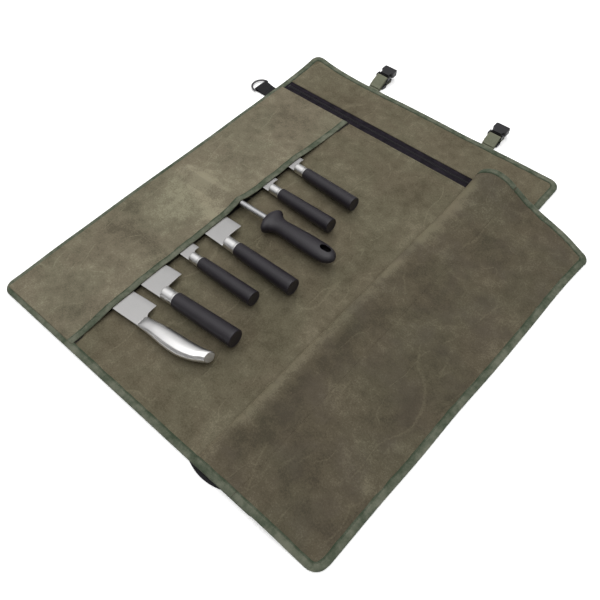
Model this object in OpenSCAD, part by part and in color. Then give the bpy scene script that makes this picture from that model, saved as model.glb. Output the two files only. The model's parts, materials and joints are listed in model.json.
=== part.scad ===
// Canvas tool roll, opened flat: a bound two-layer sheet with a blade pocket along its left side,
// a zip pocket at its far end, a folded cover flap on its right side, two closing straps with
// side-release buckles, two D-rings, and seven hand tools standing in the pocket.
// Origin: centre of the sheet's underside. +X runs from the pocket towards the flap,
// +Y from the near edge towards the straps, +Z up.

/* [Sheet] */
// Width of the bound sheet, left edge to right edge
sheet_w = 570; // [560:1:580]
// Length of the bound sheet, near edge to far edge
sheet_l = 786; // [780:1:796]
// Radius of the sheet's corners
sheet_corner_r = 20; // [12:1:30]
// Thickness of one layer of waxed canvas in the sheet
canvas_t = 1.3; // [1.2:0.1:1.4]
// Visible width of the edge binding tape
binding_w = 12; // [9:1:14]
// Thickness of the edge binding tape
binding_t = 0.6; // [0.5:0.1:0.7]

/* [Tool pocket] */
// Distance from the sheet's left edge to the pocket mouth
pocket_mouth_x = 177; // [172:1:180]
// Thickness of the pocket panel
pocket_t = 1.2; // [1:0.1:1.4]

/* [Zip pocket] */
// Near edge of the zipper tapes, from the sheet's near edge
zip_y = 668.6; // [668:0.1:670]
// Width across both zipper tapes
zip_w = 25.2; // [24:0.1:26]
// Width across the closed coils
coil_w = 6.4; // [5:0.1:7]

/* [Flap] */
// Distance from the sheet's left edge to the fold of the flap
fold_x = 449; // [447:1:452]
// Distance from the sheet's left edge to the line where the flap bends over the handles
bend_x = 560; // [558:1:562]
// Height of the hump where the fold springs open at its far end
hump_h = 25; // [10:1:25]
// Distance from the sheet's left edge to the flap's free edge at its near corner
flap_tip_near_x = 667; // [660:1:672]
// Distance from the sheet's left edge to the flap's free edge at its far corner
flap_tip_far_x = 686; // [676:1:690]
// Length of the flap along the fold
flap_l = 702; // [700:1:706]
// Thickness of the flap's canvas
flap_t = 1; // [0.8:0.1:1.2]

/* [Straps and rings] */
// Width of the closing straps' webbing
strap_w = 25; // [24:0.5:26]
// Left strap's centre line, from the sheet's left edge
strap_left_x = 149.5; // [145:0.5:155]
// Right strap's centre line, from the sheet's left edge
strap_right_x = 416.5; // [410:0.5:420]
// Width of the webbing tabs that hold the D-rings
tab_w = 32; // [30:0.5:33]
// Distance of the D-rings from the sheet's near edge
ring_y = 644; // [640:1:648]
// Diameter of the D-rings' wire
ring_wire_d = 4; // [3.5:0.1:4.2]

/* [Tools] */
// Thickness of the knife blades
blade_t = 2; // [1.6:0.1:2.2]
// Diameter of the sharpening steel's rod
rod_d = 11; // [10:0.5:11.5]

/* [Hidden] */

$fn = 64;
cut = 0.5;                                  // how far a cutter runs past a face
sheet_top = 2 * canvas_t;                   // upper face of the inner panel
binding_top = sheet_top + binding_t;        // upper face of the edge binding
web_t = 1.6;                                // thickness of the webbing under the sheet
floor_z = -web_t;                           // what the opened roll lies on
web_edge_t = web_t - binding_t;             // webbing pressed thin under the edge binding

canvas_colour = [0.43, 0.40, 0.32];
pocket_colour = [0.50, 0.48, 0.38];
flap_colour = [0.37, 0.34, 0.28];
binding_colour = [0.36, 0.42, 0.34];
webbing_colour = [0.38, 0.40, 0.30];
black = [0.09, 0.09, 0.10];
handle_colour = [0.17, 0.16, 0.18];
steel = [0.75, 0.75, 0.76];

// Everything is measured from the sheet's near left corner.
module from_corner() {
    translate([-sheet_w / 2, -sheet_l / 2, 0]) children();
}

// A rectangle with true round corners, its near left corner at the origin.
module rounded_rect(w, l, r) {
    translate([r, 0]) square([w - 2 * r, l]);
    translate([0, r]) square([w, l - 2 * r]);
    for (x = [r, w - r])
        for (y = [r, l - r])
            translate([x, y]) circle(r);
}

// The sheet's outline, drawn in from its bound edge.
module sheet_outline(inset) {
    translate([inset, inset])
        rounded_rect(sheet_w - 2 * inset, sheet_l - 2 * inset, sheet_corner_r - inset);
}

function smooth(a, b, v) =
    let (u = min(1, max(0, (v - a) / (b - a)))) u * u * (3 - 2 * u);

// Evenly spaced numbers from a to b.
function span(a, b, n) = [for (i = [0 : n]) a + (b - a) * i / n];

// A sheet of even thickness t, whose lower face has the height height(x, y).
module draped_sheet(xs, ys, height, t) {
    n = len(xs);
    m = len(ys);
    top = n * m;
    at = function(i, j) i * m + j;
    faces = [
        for (i = [0 : n - 2]) for (j = [0 : m - 2]) each [
            [top + at(i, j), top + at(i, j + 1), top + at(i + 1, j + 1)],
            [top + at(i, j), top + at(i + 1, j + 1), top + at(i + 1, j)],
            [at(i, j), at(i + 1, j), at(i + 1, j + 1)],
            [at(i, j), at(i + 1, j + 1), at(i, j + 1)]
        ],
        for (j = [0 : m - 2]) each [
            [at(0, j + 1), top + at(0, j + 1), top + at(0, j), at(0, j)],
            [at(n - 1, j), top + at(n - 1, j), top + at(n - 1, j + 1), at(n - 1, j + 1)]
        ],
        for (i = [0 : n - 2]) each [
            [at(i, 0), top + at(i, 0), top + at(i + 1, 0), at(i + 1, 0)],
            [at(i + 1, m - 1), top + at(i + 1, m - 1), top + at(i, m - 1), at(i, m - 1)]
        ]
    ];
    points = [for (dz = [0, t]) for (x = xs) for (y = ys) [x, y, height(x, y) + dz]];
    polyhedron(points, faces);
}

// A smooth bar through oval stations along X: [x, y, z, half width, half height, squareness].
module loft(stations, sides = 28) {
    n = len(stations);
    power = function(v, p) sign(v) * pow(abs(v), p);
    ring = function(s) [
        for (k = [0 : sides - 1])
            let (a = 360 * k / sides)
            [s[0], s[1] + s[3] * power(cos(a), s[5]), s[2] + s[4] * power(sin(a), s[5])]
    ];
    faces = [
        [for (k = [0 : sides - 1]) k],
        [for (k = [sides - 1 : -1 : 0]) (n - 1) * sides + k],
        for (i = [0 : n - 2]) for (k = [0 : sides - 1])
            let (next = (k + 1) % sides)
            each [
                [(i + 1) * sides + k, (i + 1) * sides + next, i * sides + next],
                [(i + 1) * sides + k, i * sides + next, i * sides + k]
            ]
    ];
    polyhedron([for (s = stations) each ring(s)], faces);
}

// ---- Sheet ----

module outer_panel() {
    color(canvas_colour) from_corner()
        linear_extrude(canvas_t) sheet_outline(binding_t);
}

// One length of the inner layer, between two distances from the near edge.
module lining(from_y, to_y) {
    color(canvas_colour) from_corner()
        translate([0, 0, canvas_t]) linear_extrude(canvas_t)
            intersection() {
                sheet_outline(binding_t);
                translate([0, from_y]) square([sheet_w, to_y - from_y]);
            }
}

module inner_panel() {
    lining(0, zip_y);
}

module zip_panel() {
    lining(zip_y + zip_w, sheet_l);
}

// Tape folded over the sheet's edge: a strip below, a strip above and the fold between them.
module edge_binding() {
    color(binding_colour) from_corner() {
        for (z = [-binding_t, sheet_top])
            translate([0, 0, z]) linear_extrude(binding_t) difference() {
                sheet_outline(0);
                sheet_outline(binding_w);
            }
        linear_extrude(sheet_top) difference() {
            sheet_outline(0);
            sheet_outline(binding_t);
        }
    }
}

// Black webbing sewn under the near edge, which bulges out past the binding.
module hanging_tab() {
    tab_x = 472;
    bulge = 5.5;
    tab_span = 58;
    bulge_r = (pow(tab_span / 2, 2) + pow(bulge, 2)) / (2 * bulge);
    color(black) from_corner() translate([tab_x, 0, floor_z]) linear_extrude(web_edge_t)
        intersection() {
            translate([0, bulge_r - bulge]) circle(bulge_r, $fn = 128);
            translate([-tab_span / 2, -bulge]) square([tab_span, bulge + 24]);
        }
}

// ---- Tool pocket ----

pocket_x0 = binding_w + 0.3;
pocket_y0 = binding_w + 0.3;
pocket_y1 = zip_y - 0.6;
blade_line_y = [63, 134, 215, 272, 352, 404, 478, 548];   // divider seams between the slots
steel_y = 375;                                            // middle of the sharpening steel's slot
steel_rise = 10.2;                                        // extra height over its round rod

// Height of the pocket panel's underside at the mouth: held up by the tools, flat at both ends.
mouth_heights = [[0, 2.8], [24, 3.6], [60, 9], [82, 13], [540, 13], [566, 9.4], [606, 8.6], [668, 3]];

pocket_height = function(x, y)
    let (
        along = (x - pocket_x0) / (pocket_mouth_x - pocket_x0),
        open = smooth(0, 0.1, along) * (0.16 + 0.84 * along),
        over_rod = smooth(15, 7.5, abs(y - steel_y)) * smooth(0.02, 0.12, along)
    )
    sheet_top + (lookup(y, mouth_heights) - sheet_top) * open + steel_rise * over_rod;

function pocket_ys() = concat(
    span(pocket_y0, steel_y - 16, 44),
    span(steel_y - 15, steel_y + 15, 12),
    span(steel_y + 16, pocket_y1, 36)
);

module pocket_panel() {
    xs = concat(
        span(pocket_x0, pocket_x0 + 18, 4),
        span(pocket_x0 + 30, pocket_mouth_x - binding_w, 5),
        [pocket_mouth_x - binding_t]
    );
    color(pocket_colour) from_corner()
        draped_sheet(xs, pocket_ys(), pocket_height, pocket_t);
}

module pocket_binding() {
    xs = [pocket_mouth_x - binding_w, pocket_mouth_x - binding_t, pocket_mouth_x];
    on_panel = function(x, y) pocket_height(x, y) + pocket_t;
    color(binding_colour) from_corner()
        draped_sheet(xs, pocket_ys(), on_panel, binding_t);
}

// The seams that part the pocket into slots, as thin upright webs.
module pocket_dividers() {
    web = 0.8;
    xs = [pocket_x0 + 8, pocket_x0 + 13, pocket_x0 + 18, pocket_mouth_x - 32];
    color(canvas_colour) from_corner()
        for (y = blade_line_y)
            translate([0, y + web / 2, 0]) rotate([90, 0, 0]) linear_extrude(web)
                polygon(concat(
                    [for (x = xs) [x, pocket_height(x, y) - 0.1]],
                    [[xs[3], sheet_top], [xs[0], sheet_top]]
                ));
}

// ---- Zipper ----

tape_t = 0.8;
tape_w = zip_w / 2 - 0.2;
zip_mid_y = zip_y + zip_w / 2;
zip_x0 = 7;
zip_x1 = sheet_w - 7;
coil_top = canvas_t + tape_t + 1.2;
slider_x = 500;                     // where the closed zipper's slider stands
slider_l = 12;
bail_z = 6.1;                       // axis of the pull on the slider

module zipper_tape(y) {
    color(black) from_corner()
        translate([binding_w - 2, y, canvas_t]) cube([sheet_w - 2 * binding_w + 4, tape_w, tape_t]);
}

module zipper_tape_near() {
    zipper_tape(zip_y);
}

module zipper_tape_far() {
    zipper_tape(zip_y + zip_w - tape_w);
}

module zipper_coils() {
    row_w = coil_w / 2 - 0.2;
    color(black) from_corner()
        for (y = [zip_mid_y - coil_w / 2, zip_mid_y + 0.2])
            translate([zip_x0 + 12, y, canvas_t + tape_t])
                cube([zip_x1 - zip_x0 - 24, row_w, coil_top - canvas_t - tape_t]);
}

// One end stop across the coils at each end of the zipper.
module zipper_stops() {
    color(steel) from_corner()
        for (x = [zip_x0 + 9, zip_x1 - 11.5])
            translate([x, zip_mid_y - 3.4, canvas_t + tape_t]) cube([2.5, 6.8, 1.4]);
}

module zipper_slider() {
    slider_w = 9.6;
    nose_w = 6;
    post_w = 0.9;
    post_y = 3.3;
    base_z = coil_top + 0.3;
    plate_t = 1.2;
    color(black) from_corner() translate([slider_x, zip_mid_y, 0]) {
        translate([0, 0, base_z]) linear_extrude(plate_t)
            polygon([
                [-slider_l / 2, -nose_w / 2], [-1, -slider_w / 2], [slider_l / 2, -slider_w / 2],
                [slider_l / 2, slider_w / 2], [-1, slider_w / 2], [-slider_l / 2, nose_w / 2]
            ]);
        for (side = [-1, 1])
            translate([-1.2, side * post_y - post_w / 2, base_z + plate_t - 0.1])
                cube([2.4, post_w, bail_z + 0.6 - base_z - plate_t + 0.1]);
        translate([0, post_y, bail_z]) rotate([90, 0, 0]) cylinder(r = 0.5, h = 2 * post_y);
    }
}

module zipper_pull() {
    pull_l = 20;
    pull_w = 5.4;
    eye_r = 0.75;
    color(black) from_corner() translate([slider_x, zip_mid_y, bail_z]) difference() {
        union() {
            rotate([90, 0, 0]) cylinder(r = eye_r + 0.35, h = pull_w, center = true);
            translate([0, -pull_w / 2, -0.55]) cube([pull_l - pull_w / 2, pull_w, 1.1]);
            translate([pull_l - pull_w / 2, 0, -0.55]) cylinder(d = pull_w, h = 1.1);
        }
        rotate([90, 0, 0]) cylinder(r = eye_r, h = pull_w + 2 * cut, center = true);
        translate([pull_l - pull_w / 2, 0, -0.55 - cut]) cylinder(d = 2.4, h = 1.1 + 2 * cut);
    }
}

// ---- Flap ----

flap_z = 7;                         // underside of the flap where it lies folded back
bend_gap = 0.8;                     // room on each side of the bend's axis
lower_l = 664;                      // length of the flap's lower layer, sewn into the right edge
flap_corner_r = 20;
hump_y = [580, 700];                // where the hump starts to rise, and where it reaches its height
hump_rise_x = [fold_x - 8, fold_x + 30];
hump_fall_x = [bend_x, bend_x - 70];
far_slope_x = 562;                  // where the flap's far edge starts to slant
flap_far_tip_y = 668;               // far edge at the flap's free corner

function corner_arc(centre, from_a, to_a, n = 8) =
    [for (a = span(from_a, to_a, n)) centre + flap_corner_r * [cos(a), sin(a)]];

function flap_points() = concat(
    [[fold_x, 0]],
    corner_arc([flap_tip_near_x - flap_corner_r, flap_corner_r], -90, 0),
    corner_arc([flap_tip_far_x - flap_corner_r, flap_far_tip_y - flap_corner_r], 0, 74),
    [[far_slope_x, flap_l], [fold_x, flap_l]]
);

// The flap's outline between two distances from the sheet's left edge.
module flap_outline(from_x, to_x, inset = 0) {
    intersection() {
        offset(delta = -inset) polygon(concat([[fold_x - 60, flap_l], [fold_x - 60, 0]], flap_points()));
        translate([from_x, 0]) square([to_x - from_x, flap_l]);
    }
}

module flap_binding(from_x, to_x) {
    for (z = [flap_z - binding_t, flap_z + flap_t])
        translate([0, 0, z]) linear_extrude(binding_t) difference() {
            flap_outline(from_x, to_x);
            flap_outline(from_x - 1, to_x + 1, binding_w);
        }
}

// The layer sewn into the right edge, which runs back to the fold.
module flap_lower() {
    color(flap_colour) from_corner()
        translate([fold_x + 0.6, 0, binding_top]) cube([sheet_w - fold_x - 0.6, lower_l, flap_t]);
}

// Height of the folded part's underside, between the fold and the bend.
flap_height = function(x, y)
    let (
        along = smooth(hump_y[0], hump_y[1], y),
        rise = smooth(hump_rise_x[0], hump_rise_x[1], x),
        fall = smooth(hump_fall_x[0], hump_fall_x[1], x)
    )
    flap_z + hump_h * along * rise * fall;

inner_xs = span(fold_x, bend_x - bend_gap, 14);
inner_ys = [0, hump_y[0] / 2, each span(hump_y[0], flap_l - binding_w, 11), flap_l];

module flap_inner() {
    color(flap_colour) from_corner()
        draped_sheet(inner_xs, inner_ys, flap_height, flap_t);
}

// Tape on both faces of the folded part's two ends.
module flap_inner_binding() {
    color(binding_colour) from_corner()
        for (dz = [-binding_t, flap_t])
            for (ys = [[0, binding_w], [flap_l - binding_w, flap_l]])
                draped_sheet(inner_xs, ys, function(x, y) flap_height(x, y) + dz, binding_t);
}

module flap_outer() {
    color(flap_colour) from_corner()
        translate([0, 0, flap_z]) linear_extrude(flap_t) flap_outline(bend_x + bend_gap, 700);
}

module flap_outer_binding() {
    color(binding_colour) from_corner() flap_binding(bend_x + bend_gap, 700);
}

// ---- D-rings and their tabs ----

ring_reach = 31;                    // from the sheet's edge to the ring's straight bar
ring_z = 2.2;                       // height of the rings' middle plane
ring_arc_r = tab_w / 2 + 0.5 + ring_wire_d / 2;

// Webbing that wraps a bar along X at the origin and closes on a thin end at (y, z).
module webbing_loop(width, bar_r, skin, end_y, end_z, end_t) {
    rotate([90, 0, 90]) translate([0, 0, -width / 2]) difference() {
        hull() {
            cylinder(r = bar_r + 0.3 + skin, h = width, $fn = 32);
            translate([end_y - 1, end_z, 0]) cube([1, end_t, width]);
        }
        translate([0, 0, -cut]) cylinder(r = bar_r + 0.3, h = width + 2 * cut);
    }
}

// A ring tab with its sewn end, drawn for an edge at X = 0 with the sheet on the +X side.
module ring_tab() {
    color(black) {
        translate([-ring_reach, 0, ring_z]) rotate([0, 0, -90])
            webbing_loop(tab_w, ring_wire_d / 2, 1.4, ring_reach, floor_z - ring_z, web_edge_t);
        translate([-0.1, -tab_w / 2, floor_z]) cube([30, tab_w, web_edge_t]);
    }
}

module d_ring() {
    color(steel) translate([-ring_reach, 0, ring_z]) {
        rotate([0, 0, 90]) rotate_extrude(angle = 180) translate([ring_arc_r, 0])
            circle(d = ring_wire_d, $fn = 32);
        rotate([90, 0, 0]) cylinder(d = ring_wire_d, h = 2 * ring_arc_r, center = true, $fn = 32);
        for (side = [-1, 1])
            translate([0, side * ring_arc_r, 0]) sphere(d = ring_wire_d, $fn = 32);
    }
}

module at_left_ring() {
    from_corner() translate([0, ring_y, 0]) children();
}

module at_right_ring() {
    from_corner() translate([sheet_w, ring_y, 0]) mirror([1, 0, 0]) children();
}

module ring_tab_left() {
    at_left_ring() ring_tab();
}

module ring_tab_right() {
    at_right_ring() ring_tab();
}

module d_ring_left() {
    at_left_ring() d_ring();
}

module d_ring_right() {
    at_right_ring() d_ring();
}

// ---- Straps and buckles ----

strap_root_y = sheet_l + 0.5;       // where the short straps leave the bound edge
strap_root_z = 0.9;
bar_r = 1.5;                        // bar that a short strap is looped round
bar_left = [strap_root_y + 28.5, 13.4];
bar_right = [strap_root_y + 23.5, 11.8];
plug_y = sheet_l + 12;              // rear of the plug halves
tail_z = 0;                         // underside of the long straps' free ends
socket_t = 10.4;

// Long webbing sewn along the underside, with a free end past the far edge.
module long_strap(x) {
    color(webbing_colour) from_corner() translate([x - strap_w / 2, 0, 0]) {
        translate([0, binding_w, floor_z]) cube([strap_w, sheet_l - 2 * binding_w, web_t]);
        for (y = [0, sheet_l - binding_w - 0.1])
            translate([0, y, floor_z]) cube([strap_w, binding_w + 0.1, web_edge_t]);
        hull() {
            translate([0, sheet_l - 0.1, floor_z]) cube([strap_w, 0.6, web_edge_t]);
            translate([0, sheet_l + 6, tail_z]) cube([strap_w, 0.6, web_edge_t]);
        }
        translate([0, sheet_l + 6, tail_z]) cube([strap_w, 20, web_edge_t]);
    }
}

// Short strap looped round the bar of its buckle socket.
module short_strap(x, bar) {
    color(webbing_colour) from_corner() translate([x, bar[0], bar[1]])
        webbing_loop(strap_w, bar_r, 1.2, strap_root_y - bar[0] + 1, strap_root_z - bar[1], web_t);
}

// Socket half: a bar between two arms, a narrow neck with open sides, and a wide mouth.
module buckle_socket(x, bar) {
    socket_w = 29;
    neck_w = 17.5;
    mouth_y = 15;
    socket_l = 31;
    arm_w = 1.7;
    hollow = [21.5, 5.4];
    color(black) from_corner() translate([x, bar[0], bar[1]]) difference() {
        union() {
            rotate([0, 90, 0]) cylinder(r = bar_r, h = socket_w - 1, center = true);
            for (side = [-1, 1])
                translate([side * (socket_w - arm_w) / 2 - arm_w / 2, -2.4, -3])
                    cube([arm_w, 9.5, 6]);
            translate([-socket_w / 2, 4.6, -3]) cube([socket_w, 3, 6]);
            translate([0, 0, -socket_t / 2]) linear_extrude(socket_t) {
                polygon([
                    [-10, 6], [10, 6], [neck_w / 2, 10], [neck_w / 2, 12.5], [socket_w / 2, mouth_y + 3],
                    [-socket_w / 2, mouth_y + 3], [-neck_w / 2, 12.5], [-neck_w / 2, 10]
                ]);
                translate([-socket_w / 2, mouth_y]) rounded_rect(socket_w, socket_l - mouth_y, 3);
            }
        }
        translate([-hollow[0] / 2, 11, -hollow[1] / 2]) cube([hollow[0], socket_l, hollow[1]]);
    }
}

// Plug half: a frame that the long strap runs through, a middle tongue and two springy arms.
module buckle_plug(x) {
    frame_w = 29;
    frame_l = 14;
    frame_t = 5.8;
    channel = [26, 2.2];
    tongue_w = 5;
    arm_w = 3;
    color(black) from_corner() translate([x, plug_y, floor_z]) {
        difference() {
            translate([-frame_w / 2, 0, 0]) linear_extrude(frame_t) rounded_rect(frame_w, frame_l, 2);
            translate([-channel[0] / 2, -cut, 1.1]) cube([channel[0], frame_l + 2 * cut, channel[1]]);
            for (y = [2.8, 8.2])
                translate([-channel[0] / 2, y, 2]) cube([channel[0], 2.8, frame_t]);
        }
        translate([-tongue_w / 2, frame_l - 1, frame_t - 2.6]) cube([tongue_w, 22, 2.4]);
        for (side = [-1, 1])
            translate([side * 9 - arm_w / 2, frame_l - 1, frame_t - 2.9]) {
                cube([arm_w, 20, 2.8]);
                translate([arm_w / 2, 20, 0]) cylinder(d = 5.4, h = 2.8);
            }
        translate([-10, frame_l - 0.5, frame_t - 2.4]) cube([20, 3, 2.2]);
    }
}

module long_strap_left() {
    long_strap(strap_left_x);
}

module long_strap_right() {
    long_strap(strap_right_x);
}

module strap_left() {
    short_strap(strap_left_x, bar_left);
}

module strap_right() {
    short_strap(strap_right_x, bar_right);
}

module buckle_socket_left() {
    buckle_socket(strap_left_x, bar_left);
}

module buckle_socket_right() {
    buckle_socket(strap_right_x, bar_right);
}

module buckle_plug_left() {
    buckle_plug(strap_left_x);
}

module buckle_plug_right() {
    buckle_plug(strap_right_x);
}

// ---- Tools ----

// Each tool lies along its own X axis, handle towards +X: [x, y, z, turn, tilt] of the handle's front.
steel_knife_at = [241.5, 101.5, 12.3, 4.7, 2.2];
wide_knife_1_at = [245, 161, 15.2, 3.6, 3.05];
slim_knife_1_at = [219.5, 238, 13.2, 0.6, 3.1];
wide_knife_2_at = [245, 296, 14.3, -0.8, 2.7];
sharpening_steel_at = [237, 375, 17.2, 0.6, 2.3];
slim_knife_2_at = [214.5, 435, 13.2, -2, 3.2];
slim_knife_3_at = [213.5, 502, 13.2, -4, 3.2];

module tool(at) {
    from_corner() translate([at[0], at[1], at[2]]) rotate([0, -at[4], at[3]]) children();
}

// A blade from x = root to the tip, its back at y = -back and its edge at y = +edge by the heel.
module blade(root, heel, tip, back, edge, tip_y, choil_r) {
    steps = 14;
    t_list = span(0, 1, steps);
    back_line = [for (t = t_list) [root + (tip - root) * t, -back + (back + tip_y) * pow(t, 3.2)]];
    edge_line = [for (t = t_list) [tip + (heel - tip) * t, edge - (edge - tip_y) * pow(1 - t, 2.3)]];
    neck_y = back - 1;
    choil = [for (a = span(180, 270, 6))
        [heel + choil_r + choil_r * cos(a), neck_y + choil_r + choil_r * sin(a)]];
    color(steel) translate([0, 0, -blade_t / 2]) linear_extrude(blade_t)
        polygon(concat(back_line, edge_line, choil, [[root, neck_y]]));
}

// Round steel collar between blade and handle, from x = -l to 0.
module ferrule(l, r) {
    color(steel) rotate([0, -90, 0]) rotate_extrude()
        polygon([[0, 0.05], [r + 0.6, 0.05], [r, 3], [r, l - 1], [r - 0.8, l], [0, l]]);
}

// Round plastic handle that widens towards its flat butt.
module round_handle(l, front_r, butt_r) {
    lip = 2;
    color(handle_colour) rotate([0, 90, 0]) rotate_extrude()
        polygon([
            [0, 0], [front_r - lip, 0], [front_r - 0.6, 0.6], [front_r, lip],
            [butt_r, l - lip], [butt_r - 0.6, l - 0.6], [butt_r - lip, l], [0, l]
        ]);
}

module steel_knife_blade() {
    tool(steel_knife_at) blade(-3, -14, -205, 10, 34, 6, 9);
}

// Hollow steel handle that swells, sweeps towards the blade's edge side and ends flat.
module steel_knife_handle() {
    color(steel) tool(steel_knife_at) loft([
        [-3, 0, 0, 10, 3, 1], [6, 0.2, 0, 10.5, 6.5, 1], [20, 0.5, 0, 12, 8.6, 1],
        [38, 0.2, 0, 14.4, 9.6, 1], [56, 0, 0, 15.6, 10, 1], [74, 0.5, 0, 15.4, 10, 1],
        [90, 2.5, 0.3, 14, 9.6, 1], [104, 5.6, 0.6, 12.2, 9, 1], [114, 8.4, 0.8, 10.8, 8.4, 1],
        [119.5, 10, 1, 9.6, 7.4, 1], [121, 10.4, 1, 8, 6, 1]
    ]);
}

module wide_knife_1_blade() {
    tool(wide_knife_1_at) blade(-25, -33, -210, 11, 43, 8, 5);
}

module wide_knife_1_ferrule() {
    tool(wide_knife_1_at) ferrule(25, 10);
}

module wide_knife_1_handle() {
    tool(wide_knife_1_at) round_handle(122, 12, 15.2);
}

module slim_knife_1_blade() {
    tool(slim_knife_1_at) blade(-21, -28, -162, 8.6, 21.5, 5, 7);
}

module slim_knife_1_ferrule() {
    tool(slim_knife_1_at) ferrule(21, 8);
}

module slim_knife_1_handle() {
    tool(slim_knife_1_at) round_handle(117, 10, 13.3);
}

module wide_knife_2_blade() {
    tool(wide_knife_2_at) blade(-25, -33, -208, 11, 41, 8, 5);
}

module wide_knife_2_ferrule() {
    tool(wide_knife_2_at) ferrule(25, 9.4);
}

module wide_knife_2_handle() {
    tool(wide_knife_2_at) round_handle(123, 11.2, 14.4);
}

module sharpening_steel_rod() {
    rod_l = 197;
    color(steel) tool(sharpening_steel_at) rotate([0, -90, 0]) rotate_extrude()
        polygon([[0, 0.1], [rod_d / 2, 0.1], [rod_d / 2, rod_l - 3], [rod_d / 2 - 1.5, rod_l], [0, rod_l]]);
}

// Moulded handle with a flared guard and an oval hanging hole near its rounded end.
module sharpening_steel_handle() {
    hole_x = 126;
    hole_half = 3.5;
    hole_r = 4.8;
    color(handle_colour) tool(sharpening_steel_at) difference() {
        loft([
            [0, 0, 0, 10, 9, 1], [3, 0, 0, 17, 12.5, 0.9], [7, 0, 0, 23.5, 14, 0.85],
            [11, 0, 0, 25.5, 14, 0.85], [15, 0, 0, 24, 13, 0.9], [20, 0, 0, 19.5, 12.4, 1],
            [27, 0, 0, 15.8, 12.2, 1], [36, 0, 0, 14.6, 12.2, 1], [55, 0, 0, 15.6, 12.6, 1],
            [80, 0, 0, 16.8, 12.8, 1], [105, 0, 0, 17.4, 12.4, 1], [122, 0, 0, 17, 11.4, 1],
            [133, 0, 0, 14.8, 10, 1], [140, 0, 0, 11.4, 8, 1], [144.5, 0, 0, 7, 5, 1],
            [146, 0, 0, 3, 2.4, 1]
        ]);
        translate([hole_x, 4, -20]) linear_extrude(40) {
            for (side = [-1, 1])
                translate([side * hole_half, 0]) circle(hole_r);
            translate([-hole_half, -hole_r]) square([2 * hole_half, 2 * hole_r]);
        }
    }
}

module slim_knife_2_blade() {
    tool(slim_knife_2_at) blade(-23, -31, -162, 8.6, 24, 5, 7);
}

module slim_knife_2_ferrule() {
    tool(slim_knife_2_at) ferrule(23, 8);
}

module slim_knife_2_handle() {
    tool(slim_knife_2_at) round_handle(117, 10, 13.3);
}

module slim_knife_3_blade() {
    tool(slim_knife_3_at) blade(-22, -29, -158, 8.4, 24, 5, 7);
}

module slim_knife_3_ferrule() {
    tool(slim_knife_3_at) ferrule(22, 8);
}

module slim_knife_3_handle() {
    tool(slim_knife_3_at) round_handle(117, 10, 12.9);
}

outer_panel();
inner_panel();
zip_panel();
edge_binding();
hanging_tab();
pocket_panel();
pocket_binding();
pocket_dividers();
zipper_tape_near();
zipper_tape_far();
zipper_coils();
zipper_stops();
zipper_slider();
zipper_pull();
flap_lower();
flap_inner();
flap_inner_binding();
flap_outer();
flap_outer_binding();
ring_tab_left();
ring_tab_right();
d_ring_left();
d_ring_right();
long_strap_left();
long_strap_right();
strap_left();
strap_right();
buckle_socket_left();
buckle_socket_right();
buckle_plug_left();
buckle_plug_right();
steel_knife_blade();
steel_knife_handle();
wide_knife_1_blade();
wide_knife_1_ferrule();
wide_knife_1_handle();
slim_knife_1_blade();
slim_knife_1_ferrule();
slim_knife_1_handle();
wide_knife_2_blade();
wide_knife_2_ferrule();
wide_knife_2_handle();
sharpening_steel_rod();
sharpening_steel_handle();
slim_knife_2_blade();
slim_knife_2_ferrule();
slim_knife_2_handle();
slim_knife_3_blade();
slim_knife_3_ferrule();
slim_knife_3_handle();
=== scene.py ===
"""Canvas tool roll, opened flat, with its tools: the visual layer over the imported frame."""

import json
import math

import bpy
import numpy as np
from mathutils import Matrix, Vector
from mathutils.bvhtree import BVHTree


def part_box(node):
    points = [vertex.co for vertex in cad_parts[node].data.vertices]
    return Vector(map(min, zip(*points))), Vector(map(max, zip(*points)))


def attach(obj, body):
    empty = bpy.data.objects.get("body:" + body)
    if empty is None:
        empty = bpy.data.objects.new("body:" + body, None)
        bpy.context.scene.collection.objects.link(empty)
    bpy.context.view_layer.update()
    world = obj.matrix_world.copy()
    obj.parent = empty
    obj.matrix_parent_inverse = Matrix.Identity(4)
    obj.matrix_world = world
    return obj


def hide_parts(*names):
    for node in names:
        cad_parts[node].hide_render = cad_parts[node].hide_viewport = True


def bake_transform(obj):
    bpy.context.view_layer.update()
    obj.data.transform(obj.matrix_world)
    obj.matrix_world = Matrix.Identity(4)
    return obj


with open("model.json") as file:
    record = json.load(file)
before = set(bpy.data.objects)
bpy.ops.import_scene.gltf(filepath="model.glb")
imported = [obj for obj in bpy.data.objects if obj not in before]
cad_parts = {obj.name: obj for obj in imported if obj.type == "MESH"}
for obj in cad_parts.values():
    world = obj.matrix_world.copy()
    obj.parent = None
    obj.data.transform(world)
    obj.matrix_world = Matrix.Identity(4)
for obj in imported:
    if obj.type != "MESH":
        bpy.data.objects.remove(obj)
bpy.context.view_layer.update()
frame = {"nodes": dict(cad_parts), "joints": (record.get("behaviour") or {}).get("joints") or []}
nodes = frame["nodes"]

# Lengths below are millimetres from the sheet's near left corner and its underside.
near_left, far_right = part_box("edge_binding")
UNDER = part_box("outer_panel")[0].z
ORIGIN = np.array([near_left.x, near_left.y, UNDER]) * 1000
# The sheet's width and length, with its bound edge.
W, L = (far_right.x - near_left.x) * 1000, (far_right.y - near_left.y) * 1000


def span(node):
    """A CAD node's box in those lengths."""
    lo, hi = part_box(node)
    return np.array(lo) * 1000 - ORIGIN, np.array(hi) * 1000 - ORIGIN


def vertices(node):
    """A CAD node's points in those lengths."""
    return np.array([v.co for v in nodes[node].data.vertices]) * 1000 - ORIGIN


def joint(name):
    return next(j for j in frame["joints"] if j["name"] == name)


TOP = span("inner_panel")[1][2]
TAPE = span("edge_binding")[1][2] - TOP
HALF = TOP / 2
TAPE_W = 12.0
CLOTH_T = 1.2
CORNER_R = 20.0


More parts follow.
